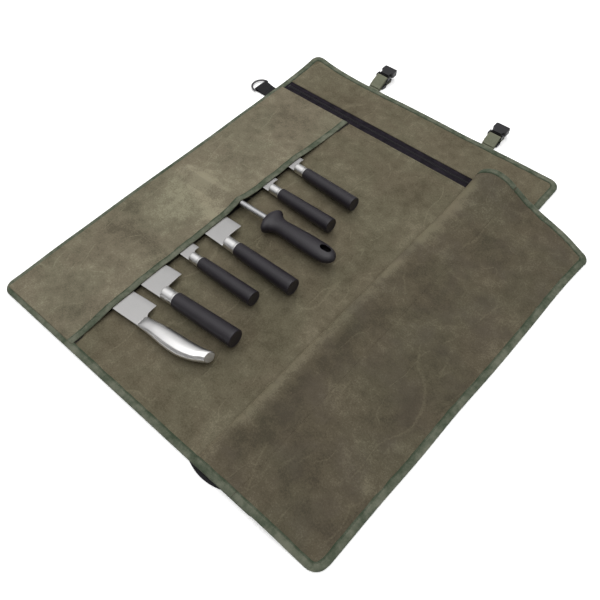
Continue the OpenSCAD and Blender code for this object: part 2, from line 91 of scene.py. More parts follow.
def smooth(a, b, v):
    """0 up to a, 1 from b on, and a smooth step between them."""
    u = np.clip((v - a) / (b - a), 0, 1)
    return u * u * (3 - 2 * u)


def bell(v, at, width):
    return np.exp(-(((v - at) / width) ** 2))


def waves(x, y, size, seed, count=9):
    """A smooth random field from about -1 to 1, with bumps about size across."""
    rng = np.random.default_rng(seed)
    a, p = rng.uniform(0, 2 * np.pi, (2, count))
    k = 2 * np.pi / size * rng.uniform(0.5, 1.25, count)
    x, y = np.asarray(x, float)[..., None], np.asarray(y, float)[..., None]
    return np.sin(k * (x * np.cos(a) + y * np.sin(a)) + p).sum(-1) * 1.5 / count


def spots(x, y, rows):
    """Sum of soft oval patches: x, y, half width, half length, turn in degrees, strength."""
    out = np.zeros(np.broadcast(x, y).shape)
    for cx, cy, rx, ry, turn, strength in rows:
        c, s = math.cos(math.radians(turn)), math.sin(math.radians(turn))
        u, v = (x - cx) * c + (y - cy) * s, -(x - cx) * s + (y - cy) * c
        out += strength * np.exp(-((u / rx) ** 2) - (v / ry) ** 2)
    return out


def lengths(path):
    """How far along a polyline each of its points lies."""
    return np.concatenate([[0], np.cumsum(np.linalg.norm(np.diff(path, axis=0), axis=1))])


def points_at(path, at, s):
    """The points at lengths `at` on a polyline whose own points lie at lengths s."""
    return np.stack([np.interp(at, s, path[:, i]) for i in range(path.shape[1])], -1)


def arc(cx, cy, r, degrees):
    return [(cx + r * math.cos(a), cy + r * math.sin(a)) for a in np.radians(degrees)]


def grid(a, b):
    return np.meshgrid(a, b, indexing="ij")


def steps(*runs):
    """Even steps in several runs, each (from, to, how many)."""
    return np.unique(np.concatenate([np.linspace(*r) for r in runs]))


# ---- Meshes ----


def build(name, points, faces, uv=None, tone=None, flat=None):
    """An object from points in millimetres; faces is one array, or a list of arrays by number of sides."""
    me = bpy.data.meshes.new(name)
    faces = [np.asarray(f, np.int32) for f in (faces if isinstance(faces, list) else [faces])]
    loops = np.concatenate([f.ravel() for f in faces])
    totals = np.concatenate([np.full(len(f), f.shape[1], np.int32) for f in faces])
    starts = np.concatenate([[0], np.cumsum(totals)[:-1]]).astype(np.int32)
    me.vertices.add(len(points))
    metres = (np.asarray(points, float) + ORIGIN) / 1000
    me.vertices.foreach_set("co", metres.astype(np.float32).ravel())
    me.loops.add(len(loops))
    me.loops.foreach_set("vertex_index", loops)
    me.polygons.add(len(totals))
    me.polygons.foreach_set("loop_start", starts)
    me.polygons.foreach_set("use_smooth", np.ones(len(totals), bool) if flat is None else ~flat)
    if uv is not None:
        layer = me.uv_layers.new(name="cloth")
        layer.data.foreach_set("uv", (np.asarray(uv, float)[loops] / 1000).astype(np.float32).ravel())
    if tone is not None:
        layer = me.attributes.new("tone", "FLOAT", "POINT")
        layer.data.foreach_set("value", np.asarray(tone, np.float32).ravel())
    me.update()
    me.validate()
    ob = bpy.data.objects.new(name, me)
    bpy.context.scene.collection.objects.link(ob)
    return ob


def finish_piece(ob, material, body=None, replaces=()):
    """Gives a piece its material and slot, and says which body it rides and what it stands for."""
    ob.data.materials.clear()
    ob.data.materials.append(material)
    if body:
        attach(ob, body)
    if replaces:
        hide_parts(*replaces)
    return ob


def quads(n, m, closed_m=False):
    """Faces of an n by m grid of points."""
    i, j = grid(np.arange(n - 1), np.arange(m if closed_m else m - 1))
    j2 = (j + 1) % m
    return np.stack([i * m + j, (i + 1) * m + j, (i + 1) * m + j2, i * m + j2], -1).reshape(-1, 4)


def normals(P):
    """Unit normals of a grid of points."""
    n = np.cross(np.gradient(P, axis=0), np.gradient(P, axis=1))
    return n / np.maximum(np.linalg.norm(n, axis=-1, keepdims=True), 1e-9)


def closed_sheet(n, m):
    """Faces of two n by m grids joined round their rim, and which of the faces are the rim's."""
    top = quads(n, m)
    k = n * m
    left, right = np.arange(n - 2, 0, -1) * m, np.arange(1, n) * m + m - 1
    ring = np.concatenate([np.arange(m), right, k - m + np.arange(m - 2, -1, -1), left])
    nxt = np.roll(ring, -1)
    faces = np.concatenate([top, top[:, ::-1] + k, np.stack([ring, nxt, nxt + k, ring + k], -1)])
    return faces, np.arange(len(faces)) >= 2 * len(top)


def shell(name, P, uv, t_up, t_down, tone=None):
    """A closed sheet about the grid P: t_up above it and t_down below it, along its normals."""
    N = normals(P)
    pts = np.concatenate([(P + N * t_up).reshape(-1, 3), (P - N * t_down).reshape(-1, 3)])
    faces, flat = closed_sheet(*P.shape[:2])
    uv = np.concatenate([uv.reshape(-1, 2)] * 2)
    tone = None if tone is None else np.concatenate([tone.ravel()] * 2)
    return build(name, pts, faces, uv, tone, flat)


def many(name, points, sides, uv):
    """Many small capped tubes at once: points holds each point of a tube, ring by ring, for all tubes."""
    V = np.stack(points, 1)
    count, k = V.shape[:2]
    caps = np.array([range(sides)[::-1], range(k - sides, k)])
    off = np.arange(count)[:, None, None] * k
    faces = [(f[None] + off).reshape(-1, f.shape[1]) for f in (quads(k // sides, sides, True), caps)]
    return build(name, V.reshape(-1, 3), faces, np.repeat(uv, k, 0))


def stitches(name, pts, dirs, ups, length, r, sag=0.25):
    """Short raised threads, one at each point."""
    pts, dirs, ups = (np.asarray(a, float) for a in (pts, dirs, ups))
    side = np.cross(dirs, ups)
    ang = np.arange(6) * np.pi / 3
    out = []
    for f, rr, dz in ((-0.5, 0.35, -sag), (-0.3, 0.95, 0.0), (0.3, 0.95, 0.0), (0.5, 0.35, -sag)):
        for a in ang:
            middle = pts + dirs * f * length
            out.append(middle + side * (r * rr * math.cos(a)) + ups * (r * rr * math.sin(a) + dz))
    return many(name, out, len(ang), pts[:, :2])


def along(path, gap):
    """Evenly spaced points on a polyline, with their directions."""
    s = lengths(path)
    at = np.arange(0, s[-1], gap)
    p = points_at(path, at, s)
    d = points_at(path, at + 0.5, s) - p
    return p, d / np.maximum(np.linalg.norm(d, axis=1, keepdims=True), 1e-9)


def curve(points, step):
    """A smooth line through points (Catmull-Rom), resampled every step."""
    P = np.asarray(points, float)
    Q = np.concatenate([[2 * P[0] - P[1]], P, [2 * P[-1] - P[-2]]])
    out = []
    for i in range(len(P) - 1):
        a, b, c, d = Q[i:i + 4]
        t = np.linspace(0, 1, 24, endpoint=False)[:, None]
        bend, twist = 2 * a - 5 * b + 4 * c - d, 3 * b - a - 3 * c + d
        out.append(0.5 * (2 * b + (c - a) * t + bend * t**2 + twist * t**3))
    R = np.concatenate([*out, P[-1:]])
    s = lengths(R)
    return points_at(R, np.linspace(0, s[-1], max(2, int(round(s[-1] / step)) + 1)), s)


# ---- Materials ----


class Paint:
    """A Principled material with short ways to add nodes."""

    def __init__(self, name, **values):
        self.m = bpy.data.materials.new(name)
        self.m.use_nodes = True
        self.t = self.m.node_tree
        self.b = self.t.nodes["Principled BSDF"]
        for k, v in values.items():
            self.b.inputs[k.replace("_", " ")].default_value = v

    def feed(self, socket, v):
        """Puts a value or a link into an input."""
        if isinstance(v, bpy.types.NodeSocket):
            self.t.links.new(v, socket)
        else:
            socket.default_value = v

    def add(self, kind, out=0, inputs=None, **props):
        n = self.t.nodes.new("ShaderNode" + kind)
        for k, v in props.items():
            setattr(n, k, v)
        for k, v in (inputs or {}).items():
            self.feed(n.inputs[k], v)
        return n.outputs[out]

    def uv(self):
        return self.add("UVMap", uv_map="cloth")

    def local(self):
        return self.add("TexCoord", "Object")

    def scaled(self, vec, s):
        return self.add("Mapping", inputs={"Vector": vec, "Scale": s})

    def noise(self, vec, scale, detail=3.0, rough=0.55, distortion=0.0):
        ins = {"Vector": vec, "Scale": scale, "Detail": detail, "Roughness": rough, "Distortion": distortion}
        return self.add("TexNoise", "Fac", ins)

    def math(self, op, a, b=0.0, c=0.0):
        return self.add("Math", inputs={0: a, 1: b, 2: c}, operation=op)

    def swing(self, v, gain, base):
        """base, and gain times what v has over 0.5."""
        return self.math("MULTIPLY_ADD", self.math("SUBTRACT", v, 0.5), gain, base)

    def ramp(self, fac, a, b, lo=0.0, hi=1.0):
        ins = {"Value": fac, "From Min": a, "From Max": b, "To Min": lo, "To Max": hi}
        return self.add("MapRange", inputs=ins, interpolation_type="SMOOTHSTEP")

    def mix(self, fac, a, b, blend="MIX"):
        n = self.t.nodes.new("ShaderNodeMix")
        n.data_type, n.blend_type, n.clamp_factor = "RGBA", blend, True
        for k, v in ((0, fac), (6, a), (7, b)):
            self.feed(n.inputs[k], (*v, 1) if isinstance(v, tuple) else v)
        return n.outputs[2]

    def wave(self, vec, period, direction):
        ins = {"Vector": vec, "Scale": 0.31416 / period, "Distortion": 0.0, "Detail": 0.0}
        return self.add("TexWave", "Fac", ins, bands_direction=direction)

    def tone(self):
        return self.add("Attribute", "Fac", attribute_name="tone")

    def bump(self, height, strength, distance, under=None):
        ins = {"Height": height, "Strength": strength, "Distance": distance}
        if under is not None:
            ins["Normal"] = under
        return self.add("Bump", inputs=ins)

    def out(self, color=None, rough=None, normal=None):
        for k, v in (("Base Color", color), ("Roughness", rough), ("Normal", normal)):
            if v is not None:
                self.t.links.new(v, self.b.inputs[k])
        return self.m


def waxed_canvas(name, dark, mid, pale, warm=None, creases=1.0):
    """Waxed canvas: mottled, with pale crease lines, a felted grain and a fine weave."""
    p = Paint(name, Roughness=0.72, Specular_IOR_Level=0.35)
    uv = p.uv()
    blotch = p.noise(uv, 11, 4, 0.6, 0.4)
    patch = p.noise(uv, 52, 5, 0.65)
    fine = p.noise(uv, 340, 4, 0.65)
    grain = p.noise(uv, 900, 3, 0.65)
    f = p.swing(blotch, 1.0, 0.5)
    for v, gain in ((patch, 1.25), (fine, 1.15), (grain, 1.1)):
        f = p.swing(v, gain, f)
    f = p.math("ADD", f, p.tone())
    col = p.mix(p.ramp(f, 0.05, 0.5), dark, mid)
    col = p.mix(p.ramp(f, 0.5, 1.1), col, pale)
    if warm:
        col = p.mix(p.ramp(p.noise(uv, 17, 3, 0.5, 0.3), 0.42, 0.7, 0, 0.55), col, warm)
    # Tone far below zero turns the cloth near black: painted shade inside the pocket, under its mouth.
    col = p.mix(p.ramp(f, -0.9, -0.1), (0.003, 0.003, 0.002), col)
    lines = None
    for scale, turn, seed in ((10, 0.4, 0.0), (17, 2.0, 7.3)):
        place_in = {"Scale": (scale, scale * 0.45, 1), "Rotation": (0, 0, turn), "Location": (seed, seed, 0)}
        v = p.add("Mapping", inputs={"Vector": uv, **place_in})
        w = p.math("ABSOLUTE", p.math("SUBTRACT", p.noise(v, 1.0, 2, 0.35, 0.1), 0.5))
        w = p.ramp(w, 0.0, 0.011, 1, 0)
        w = p.math("MULTIPLY", w, p.ramp(p.noise(v, 2.3, 1, 0.5), 0.46, 0.6))
        lines = w if lines is None else p.math("MAXIMUM", lines, w)
    lines = p.math("MULTIPLY", lines, p.ramp(fine, 0.3, 0.55))
    col = p.mix(p.math("MULTIPLY", lines, 0.5 * creases), col, pale)
    specks = p.ramp(p.noise(uv, 620, 1, 0.4), 0.73, 0.79)
    col = p.mix(p.math("MULTIPLY", specks, 0.7), col, tuple(c * 1.25 for c in pale))
    hue = p.ramp(p.noise(uv, 9, 3, 0.55, 0.5), 0.38, 0.62)
    col = p.mix(1.0, col, p.mix(hue, (1.02, 0.995, 0.99), (0.99, 1.008, 0.985)), "MULTIPLY")
    weave = p.math("MULTIPLY", p.wave(uv, 0.0011, "X"), p.wave(uv, 0.0011, "Y"))
    n = p.bump(p.math("MULTIPLY_ADD", weave, 0.5, grain), 0.35, 0.00025)
    n = p.bump(fine, 0.35, 0.0007, n)
    n = p.bump(p.math("MULTIPLY_ADD", lines, 0.5, patch), 0.3, 0.0022, n)
    return p.out(col, p.ramp(f, 0.0, 1.2, 0.82, 0.6), n)


def ribbed_tape(name, dark, pale, period=0.0013):
    """Woven binding tape with ribs across it; its V coordinate runs along its length."""
    p = Paint(name, Roughness=0.85, Specular_IOR_Level=0.18)
    uv = p.uv()
    ribs = p.wave(uv, period, "Y")
    fibre = p.noise(p.scaled(uv, (900, 300, 1)), 1.0, 3, 0.6)
    soft = p.noise(uv, 70, 4, 0.6)
    f = p.math("MULTIPLY_ADD", ribs, 0.22, p.math("MULTIPLY_ADD", fibre, 0.5, p.math("MULTIPLY", soft, 1.5)))
    f = p.math("ADD", f, p.tone())
    col = p.mix(p.ramp(f, 0.6, 1.6), dark, pale)
    n = p.bump(p.math("MULTIPLY_ADD", fibre, 0.4, ribs), 0.45, 0.00022)
    return p.out(col, None, n)


def webbing(name, dark, pale, period=0.0021):
    """Plain-woven webbing: yarns that pass over and under, stronger along its length."""
    p = Paint(name, Roughness=0.7, Specular_IOR_Level=0.35)
    uv = p.uv()
    across, down = p.wave(uv, period * 0.8, "X"), p.wave(uv, period, "Y")
    check = p.math("ABSOLUTE", p.math("SUBTRACT", across, down))
    fibre = p.noise(p.scaled(uv, (1100, 260, 1)), 1.0, 3, 0.6)
    f = p.math("MULTIPLY_ADD", check, 0.5, p.math("MULTIPLY", fibre, 0.5))
    col = p.mix(p.ramp(f, 0.15, 0.85), dark, pale)
    n = p.bump(p.math("MULTIPLY_ADD", fibre, 0.3, check), 0.6, 0.00045)
    return p.out(col, None, n)


def plastic(name, color, pale, rough, grain_scale=900, grain=0.3):
    p = Paint(name, Roughness=rough, Specular_IOR_Level=0.5)
    v = p.local()
    soft = p.noise(v, 30, 4, 0.6)
    fine = p.noise(v, grain_scale, 3, 0.6)
    scuff = p.ramp(p.noise(p.scaled(v, (60, 240, 240)), 1.0, 4, 0.7), 0.6, 0.72)
    col = p.mix(p.math("MULTIPLY_ADD", scuff, 0.25, p.math("MULTIPLY", soft, 0.7)), color, pale)
    r = p.swing(soft, 0.18, rough)
    n = p.bump(fine, grain, 0.0002)
    return p.out(col, p.math("ADD", r, p.math("MULTIPLY", scuff, 0.06)), n)


def brushed(name, color, rough, stretch, strength=0.25, spread=0.16):
    """Brushed steel; stretch gives the scratches' scale along the row's X, Y and Z."""
    p = Paint(name, Metallic=1.0, Roughness=rough)
    v = p.local()
    scratch = p.noise(p.scaled(v, stretch), 1.0, 4, 0.7)
    smudge = p.noise(v, 55, 4, 0.65, 0.3)
    pale = p.math("MULTIPLY_ADD", scratch, 0.5, p.math("MULTIPLY", smudge, 0.5))
    col = p.mix(pale, tuple(c * 0.8 for c in color), color)
    r = p.swing(smudge, 0.16, p.swing(scratch, spread, rough))
    return p.out(col, p.math("MAXIMUM", r, LEAST_ROUGH), p.bump(scratch, strength, 0.00006))


# Metal smoother than this renders speckled at few samples.
LEAST_ROUGH = 0.29


CANVAS = waxed_canvas("canvas", (0.069, 0.058, 0.034), (0.104, 0.089, 0.055), (0.175, 0.156, 0.102))
OUTER = waxed_canvas("outer canvas", (0.076, 0.065, 0.041), (0.110, 0.095, 0.062), (0.178, 0.160, 0.110))
POCKET = waxed_canvas("pocket canvas", (0.088, 0.077, 0.050), (0.142, 0.124, 0.083), (0.240, 0.222, 0.150))
FLAP = waxed_canvas("flap canvas", (0.049, 0.041, 0.025), (0.078, 0.065, 0.039), (0.138, 0.120, 0.076),
                    (0.064, 0.052, 0.036), 0.8)
BIND = ribbed_tape("binding tape", (0.040, 0.056, 0.034), (0.150, 0.156, 0.116))
THREAD = ribbed_tape("thread", (0.040, 0.052, 0.034), (0.078, 0.092, 0.062), 0.0006)
OLIVE = webbing("olive webbing", (0.110, 0.118, 0.076), (0.235, 0.240, 0.170))
BLACK_WEB = webbing("black webbing", (0.003, 0.003, 0.004), (0.017, 0.016, 0.019))
BLACK_TAPE = ribbed_tape("zipper tape", (0.003, 0.002, 0.004), (0.018, 0.014, 0.020), 0.0009)
COIL = plastic("zipper coil", (0.003, 0.002, 0.004), (0.010, 0.008, 0.012), 0.5)
BLACK_METAL = plastic("black metal", (0.008, 0.008, 0.009), (0.035, 0.034, 0.036), 0.36)
BUCKLE = plastic("buckle plastic", (0.004, 0.004, 0.005), (0.018, 0.018, 0.020), 0.44, 1300, 0.2)
HANDLE = plastic("handle plastic", (0.010, 0.008, 0.011), (0.024, 0.020, 0.026), 0.39, 1500, 0.5)
RING = brushed("ring steel", (0.13, 0.125, 0.13), 0.33, (300, 300, 300), 0.05)
BLADE = brushed("blade steel", (0.575, 0.567, 0.56), 0.45, (70, 1400, 70), 0.1)
COLLAR = brushed("collar steel", (0.93, 0.92, 0.91), 0.32, (60, 500, 500), 0.02, 0.06)
GRIP = brushed("grip steel", (0.88, 0.87, 0.86), 0.33, (45, 500, 500), 0.02, 0.06)
ROD = brushed("rod steel", (0.62, 0.62, 0.63), 0.33, (1500, 500, 500), 0.5)


# ---- The sheet ----


# Places on the sheet: the short straps, the D-rings and the zipper.
STRAP_X = (149.5, 416.5)
RING_Y = 644.0
ZIP_Y = 681.0


def lift(x, y):
    """How far the sheet's cloth stands off flat."""
    curl = 13 * np.clip(1 - np.hypot(x, L - y) / 120, 0, 1) ** 2
    left = (0.9 * waves(y, 0, 120, 5) + 0.25) * bell(x, 0, 30) * (1 - bell(y, RING_Y, 42))
    away = 1 - bell(x, STRAP_X[0], 32) - bell(x, STRAP_X[1], 32)
    far = (1.0 * waves(x, 0, 110, 8) + 0.3) * bell(L - y, 0, 28) * away
    near = (0.9 * waves(x, 0, 100, 9) + 0.2) * bell(y, 0, 26) * (1 - smooth(395, 425, x))
    right = 0.8 * waves(y, 0, 90, 12) * bell(W - x, 0, 26) * smooth(716, 740, y)
    under_flap = smooth(400, 440, x) * (1 - smooth(704, 720, y))
    field = 0.32 * waves(x, y, 95, 3) * smooth(0, 40, x) * smooth(0, 40, y) * (1 - under_flap)
    return curl + np.clip(left + far + near + right, -0.9, 3) + field * (1 - 0.8 * bell(y, ZIP_Y, 22))


def shifted(x, y):
    """The sheet's outline isn't quite straight: its left edge wanders a few millimetres."""
    out = 5 * (1 - smooth(0, 300, y)) - 3 * smooth(470, 640, y) * (1 - smooth(690, 786, y))
    wander = 0.9 * waves(y, 0, 130, 21) * (1 - bell(y, RING_Y, 40))
    return x + (out + wander) * np.clip(1 - x / 200, 0, 1)


def sheet_point(x, y, z):
    """A point of the sheet, z above its flat underside, with its wander and lift."""
    return np.stack([shifted(x, y), y + 0 * x, z + lift(x, y)], -1)


def rounded(x, y, inset, r):
    """Pulls the corner points of a rectangle in onto its round corners."""
    r = r - inset
    cx = np.clip(x, inset + r, W - inset - r)
    cy = np.clip(y, inset + r, L - inset - r)
    dx, dy = x - cx, y - cy
    d = np.hypot(dx, dy)
    k = np.where((abs(dx) > 0) & (abs(dy) > 0) & (d > r), r / np.maximum(d, 1e-9), 1)
    return cx + dx * k, cy + dy * k


mouth_x = span("pocket_binding")[1][0]
MOUTH_EDGE = mouth_x + 0.4
# Stains and worn places, and pale marks near x 436 to 437 beside the flap's fold: see spots for what a row
# holds.
canvas_marks = [
    (333, 187, 42, 30, 30, -0.20), (409, 208, 30, 50, 0, -0.16), (354, 36, 50, 24, 0, -0.10),
    (425, 352, 26, 60, 10, -0.16), (380, 600, 40, 40, 0, -0.16), (280, 644, 60, 20, 0, -0.08),
    (269, 217, 30, 18, 0, -0.14), (282, 330, 34, 22, 0, -0.16), (282, 444, 40, 26, 10, -0.14),
    (330, 120, 50, 30, 20, -0.08), (292, 107, 36, 22, 0, 0.06), (248, 69, 30, 24, 0, 0.08),
    (436, 54, 18, 60, 0, 0.12), (437, 300, 7, 300, 0, 0.10), (422, 564, 24, 30, 0, 0.12),
    (285, 557, 40, 26, 0, 0.08), (217, 498, 30, 30, 0, 0.06), (350, 480, 40, 50, 0, 0.06),
    (120, 735, 90, 22, 0, -0.06), (330, 745, 120, 16, 0, 0.05),
]


def canvas_tone(x, y):
    """Stains and wear of the lining, and the deep shade along the pocket's mouth."""
    reach = MOUTH_EDGE - 7.8 * smooth(10, 60, y) * smooth(664, 590, y)
    deep = -2.2 * (1 - smooth(reach + 1.5, reach + 4.5, x)) * (y < 668)
    return spots(x, y, canvas_marks) + deep + 0.05 * waves(x, y, 60, 31)


def sheet_layer(name, y0, y1, top, material, node, step=3.0, inset=3.0):
    """One of the sheet's layers of cloth, with round corners."""
    xs = np.linspace(inset, W - inset, int((W - 2 * inset) / step) + 1)
    ys = np.linspace(max(y0, inset), min(y1, L - inset), int((y1 - y0) / step) + 1)
    X, Y = rounded(*grid(xs, ys), inset, CORNER_R)
    ob = shell(name, sheet_point(X, Y, top), np.stack([X, Y], -1), 0.0, CLOTH_T, canvas_tone(X, Y))
    return finish_piece(ob, material, "roll", [node])


zip_near = span("zipper_tape_near")[0][1]
zip_far = span("zipper_tape_far")[1][1]
SEAM_GAP = 0.3
lining = sheet_layer("lining", 0, zip_near - SEAM_GAP, TOP, CANVAS, "inner_panel")
zip_lining = sheet_layer("zip_lining", zip_far + SEAM_GAP, L, TOP, CANVAS, "zip_panel")
outer = sheet_layer("outer_cloth", 0, L, 1.3, OUTER, "outer_panel", 4.0)


def outline(step=3.0):
    """The sheet's outline, with the directions inward."""
    r = CORNER_R
    pts, inn = [], []
    for cx, cy, a0 in ((r, r, 180), (W - r, r, 270), (W - r, L - r, 0), (r, L - r, 90)):
        quarter = np.linspace(a0, a0 + 90, 15)
        pts += arc(cx, cy, r, quarter)
        inn += arc(0, 0, -1, quarter)
    P, I = np.array(pts + pts[:1]), np.array(inn + inn[:1])
    s = lengths(P)
    at = np.unique(np.concatenate([s, np.arange(0, s[-1], step)]))
    return points_at(P, at, s), points_at(I, at, s), at


def tape_section(half, t, w=TAPE_W):
    """(distance in from the edge, height from the mid-surface) round a folded tape."""
    up = [(w, half), (w - 0.1, half + t * 0.55), (w - 0.5, half + t * 0.95), (w * 0.72, half + t)]
    up += [(w * 0.45, half + t * 1.05), (w * 0.22, half + t), (1.3, half + t * 0.8)]
    up += [(0.55, (half + t) * 0.72), (0.12, (half + t) * 0.4), (0, 0)]
    return np.array(up + [(d, -h) for d, h in up[-2::-1]])


def folded_tape(name, path, inward, s, surface, half, seed):
    """Tape folded over an edge. surface(points) gives the cloth's mid-surface and its normal."""
    sec = tape_section(half, TAPE)
    d = sec[None, :, 0] * (1 + 0.05 * waves(s, 0, 26, seed)[:, None])
    q = path[:, None] + inward[:, None] * d[..., None]
    M, N = surface(q[..., 0], q[..., 1])
    row = s[:, None] + 0 * d
    puck = 0.22 * waves(row, d * 3, 13, seed + 1) * smooth(0.5, 3, d)
    h = sec[None, :, 1] + np.sign(sec[None, :, 1]) * puck
    P = M + N * h[..., None]
    uv = np.stack(np.broadcast_arrays(lengths(sec)[None], s[:, None]), -1)
    # The tape's tone varies at random, and darkens over its inner edge, painted shade where it meets the
    # cloth, and along its stitch row.
    tone = 0.22 * waves(row, d, 40, seed + 2) - 0.35 * smooth(9.6, 11.2, d) - 0.2 * bell(d, 9.8, 0.7)
    return build(name, P.reshape(-1, 3), quads(*P.shape[:2]), uv.reshape(-1, 2), tone.ravel())


def sheet_surface(x, y):
    """The sheet's mid-surface and its normals."""
    e = 1.0
    M = sheet_point(x, y, HALF)
    dx = (lift(x + e, y) - lift(x - e, y)) / (2 * e)
    dy = (lift(x, y + e) - lift(x, y - e)) / (2 * e)
    N = np.stack([-dx, -dy, np.ones_like(dx)], -1)
    return M, N / np.linalg.norm(N, axis=-1, keepdims=True)


def joined(rows):
    """Points, directions and normals of several rows of stitches, each put in one array."""
    return [np.concatenate(parts) for parts in zip(*rows)]


def edge_stitches(name, path, inward, surface, half, both=True, gap=3.9, depth=9.8):
    """A row of stitches along a folded tape, above it and below it."""
    p, d = along(path + inward * depth, gap)
    M, N = surface(p[:, 0], p[:, 1])
    M2, _ = surface(p[:, 0] + d[:, 0] * 0.5, p[:, 1] + d[:, 1] * 0.5)
    D = M2 - M
    D /= np.maximum(np.linalg.norm(D, axis=1, keepdims=True), 1e-9)
    rows = [(M + N * sign * (half + TAPE + 0.04), D, N * sign) for sign in ((1, -1) if both else (1,))]
    return stitches(name, *joined(rows), 2.7, 0.3)


def bind(tape, thread, path, inward, s, surface, half, seed, body, node, both=True, cut=slice(None)):
    """Folded tape along an edge and the stitches that hold it."""
    tape = folded_tape(tape, path, inward, s, surface, half, seed)
    finish_piece(tape, BIND, body, node)
    thread = edge_stitches(thread, path[cut], inward[cut], surface, half, both)
    finish_piece(thread, THREAD, body)
    return tape, thread


path, inward, s = outline()
bind("edge_tape", "edge_thread", path, inward, s, sheet_surface, HALF, 41, "roll", ["edge_binding"])


# ---- Zipper ----

zip_mid = (zip_near + zip_far) / 2
coil_lo, coil_hi = span("zipper_coils")
tape_top = span("zipper_tape_near")[1][2]
# Each tape runs a little way under the lining and stops short of the coils' middle.
TUCK, MEET = 3.5, 0.15
for name, y0, y1 in (("near", zip_near - TUCK, zip_mid - MEET), ("far", zip_mid + MEET, zip_far + TUCK)):
    X, Y = grid(np.linspace(5, W - 5, 190), np.linspace(y0, y1, 9))
    edge = np.clip((zip_near - Y) if name == "near" else (Y - zip_far), 0, None)
    P = sheet_point(X, Y, tape_top - 0.15 * edge + 0.05 * waves(X, Y, 14, 51))
    P[..., 2] -= 0.5 * smooth(0, 2, edge)
    ob = shell("zip_tape_" + name, P, np.stack([Y, X], -1), 0.0, 0.7, 0 * X)
    finish_piece(ob, BLACK_TAPE, "roll", ["zipper_tape_" + name])

# The lining is folded under along both sides of the zipper and sewn down.
FOLD_SEC = np.array([
    (0.35, -0.7), (0.0, -0.2), (0.1, 0.35), (0.7, 0.62), (2.2, 0.62), (4.2, 0.5), (5.4, 0.22), (5.9, -0.1)
])
for name, y, into in (("zip_fold_near", zip_near - SEAM_GAP, -1), ("zip_fold_far", zip_far + SEAM_GAP, 1)):
    X, D = grid(np.linspace(9, W - 9, 240), FOLD_SEC[:, 0])
    Z = np.broadcast_to(FOLD_SEC[:, 1], X.shape) + 0.1 * waves(X, D, 22, 55)
    Y = y + into * (D + 0.25 * waves(X, 0, 60, 56))
    P = sheet_point(X, Y, TOP + Z).reshape(-1, 3)
    uv = np.stack([X, Y], -1).reshape(-1, 2)
    ob = build(name, P, quads(*X.shape), uv, (canvas_tone(X, Y) + 0.05).ravel())
    finish_piece(ob, CANVAS, "roll")
    p, _ = along(np.stack([np.linspace(12, W - 12, 300), np.full(300, y + into * 3.4)], -1), 3.6)
    P = sheet_point(p[:, 0], p[:, 1], TOP + 0.66)
    D, N = (np.tile(v, (len(p), 1)) for v in ([1.0, 0, 0], [0, 0, 1.0]))
    ob = stitches(name + "_thread", P, D, N, 2.5, 0.28)
    finish_piece(ob, THREAD, "roll")

# Coil teeth: loops that reach across the middle by turns.
TEETH_PITCH = 2.3
tx = np.arange(coil_lo[0] + 1, coil_hi[0] - 1, TEETH_PITCH / 2)
by_turns = np.where(np.arange(len(tx)) % 2 == 0, -1.0, 1.0)
# A tooth's rings: how far past the middle, how high, and how thick.
TOOTH = (
    (-2.9, 0.0, 0.5), (-2.6, 0.75, 0.62), (-1.2, 1.0, 0.6), (0.35, 0.95, 0.66), (0.95, 0.6, 0.7),
    (1.05, 0.1, 0.5),
)
V = []
for off, up, r in TOOTH:
    for a in np.arange(8) * np.pi / 4:
        dx, dz = r * 0.85 * math.cos(a), r * 0.62 * math.sin(a)
        yy = zip_mid + by_turns * -off
        zz = coil_lo[2] + 0.1 + up * 0.62 + dz
        V.append(np.stack([shifted(tx + dx, yy), yy, zz + lift(tx, yy)], -1))
coil = many("coil_teeth", V, 8, np.stack([tx, 0 * tx], -1))
finish_piece(coil, COIL, "roll", ["zipper_coils"])

stop_lo, stop_hi = span("zipper_stops")
STOP_HALF = 1.25
STOP_SEC = ((-3.4, -0.5), (-3.5, 0.6), (-3.1, 1.25), (0, 1.4), (3.1, 1.25), (3.5, 0.6), (3.4, -0.5))
V, F = [], []
for k, x in enumerate((stop_lo[0] + STOP_HALF, stop_hi[0] - STOP_HALF)):
    for dx, drop in ((-STOP_HALF, 0.35), (-0.9, 0), (0.9, 0), (STOP_HALF, 0.35)):
        for dy, dz in STOP_SEC:
            V.append(sheet_point(np.array(x + dx), np.array(zip_mid + dy), stop_lo[2] + dz - drop * (dz > 0)))
    F.append(quads(4, len(STOP_SEC)) + 4 * len(STOP_SEC) * k)
ob = build("end_stops", np.array(V), np.concatenate(F), np.array(V)[:, :2])
finish_piece(ob, BLACK_METAL, "roll", ["zipper_stops"])


# ---- Tool pocket ----

pocket_lo, pocket_hi = span("pocket_panel")
# The pocket's cloth goes on under the binding at its closed edges.
UNDER_BIND = 4.3
px = np.arange(pocket_lo[0] - UNDER_BIND, mouth_x + 0.01, (mouth_x - pocket_lo[0] + UNDER_BIND) / 84)
py = np.linspace(pocket_lo[1] - UNDER_BIND, pocket_hi[1] + 0.6, 330)
PX, PY = grid(px, py)


def obstacle_heights():
    """Height of the tools' upper side under each point of the pocket, in millimetres."""
    verts, tris = [], []
    for n in nodes:
        if n.endswith(("_blade", "_rod")):
            me = nodes[n].data
            me.calc_loop_triangles()
            k = len(verts)
            verts += [v.co.copy() for v in me.vertices]
            tris += [[k + i for i in t.vertices] for t in me.loop_triangles]
    tree = BVHTree.FromPolygons(verts, tris)
    out = np.full(PX.shape, -100.0)
    for ij in np.ndindex(PX.shape):
        start = Vector(((PX[ij] + ORIGIN[0]) / 1000, (PY[ij] + ORIGIN[1]) / 1000, 0.08))
        hit = tree.ray_cast(start, Vector((0, 0, -1)))[0]
        if hit is not None:
            out[ij] = hit.z * 1000 - ORIGIN[2]
    return out


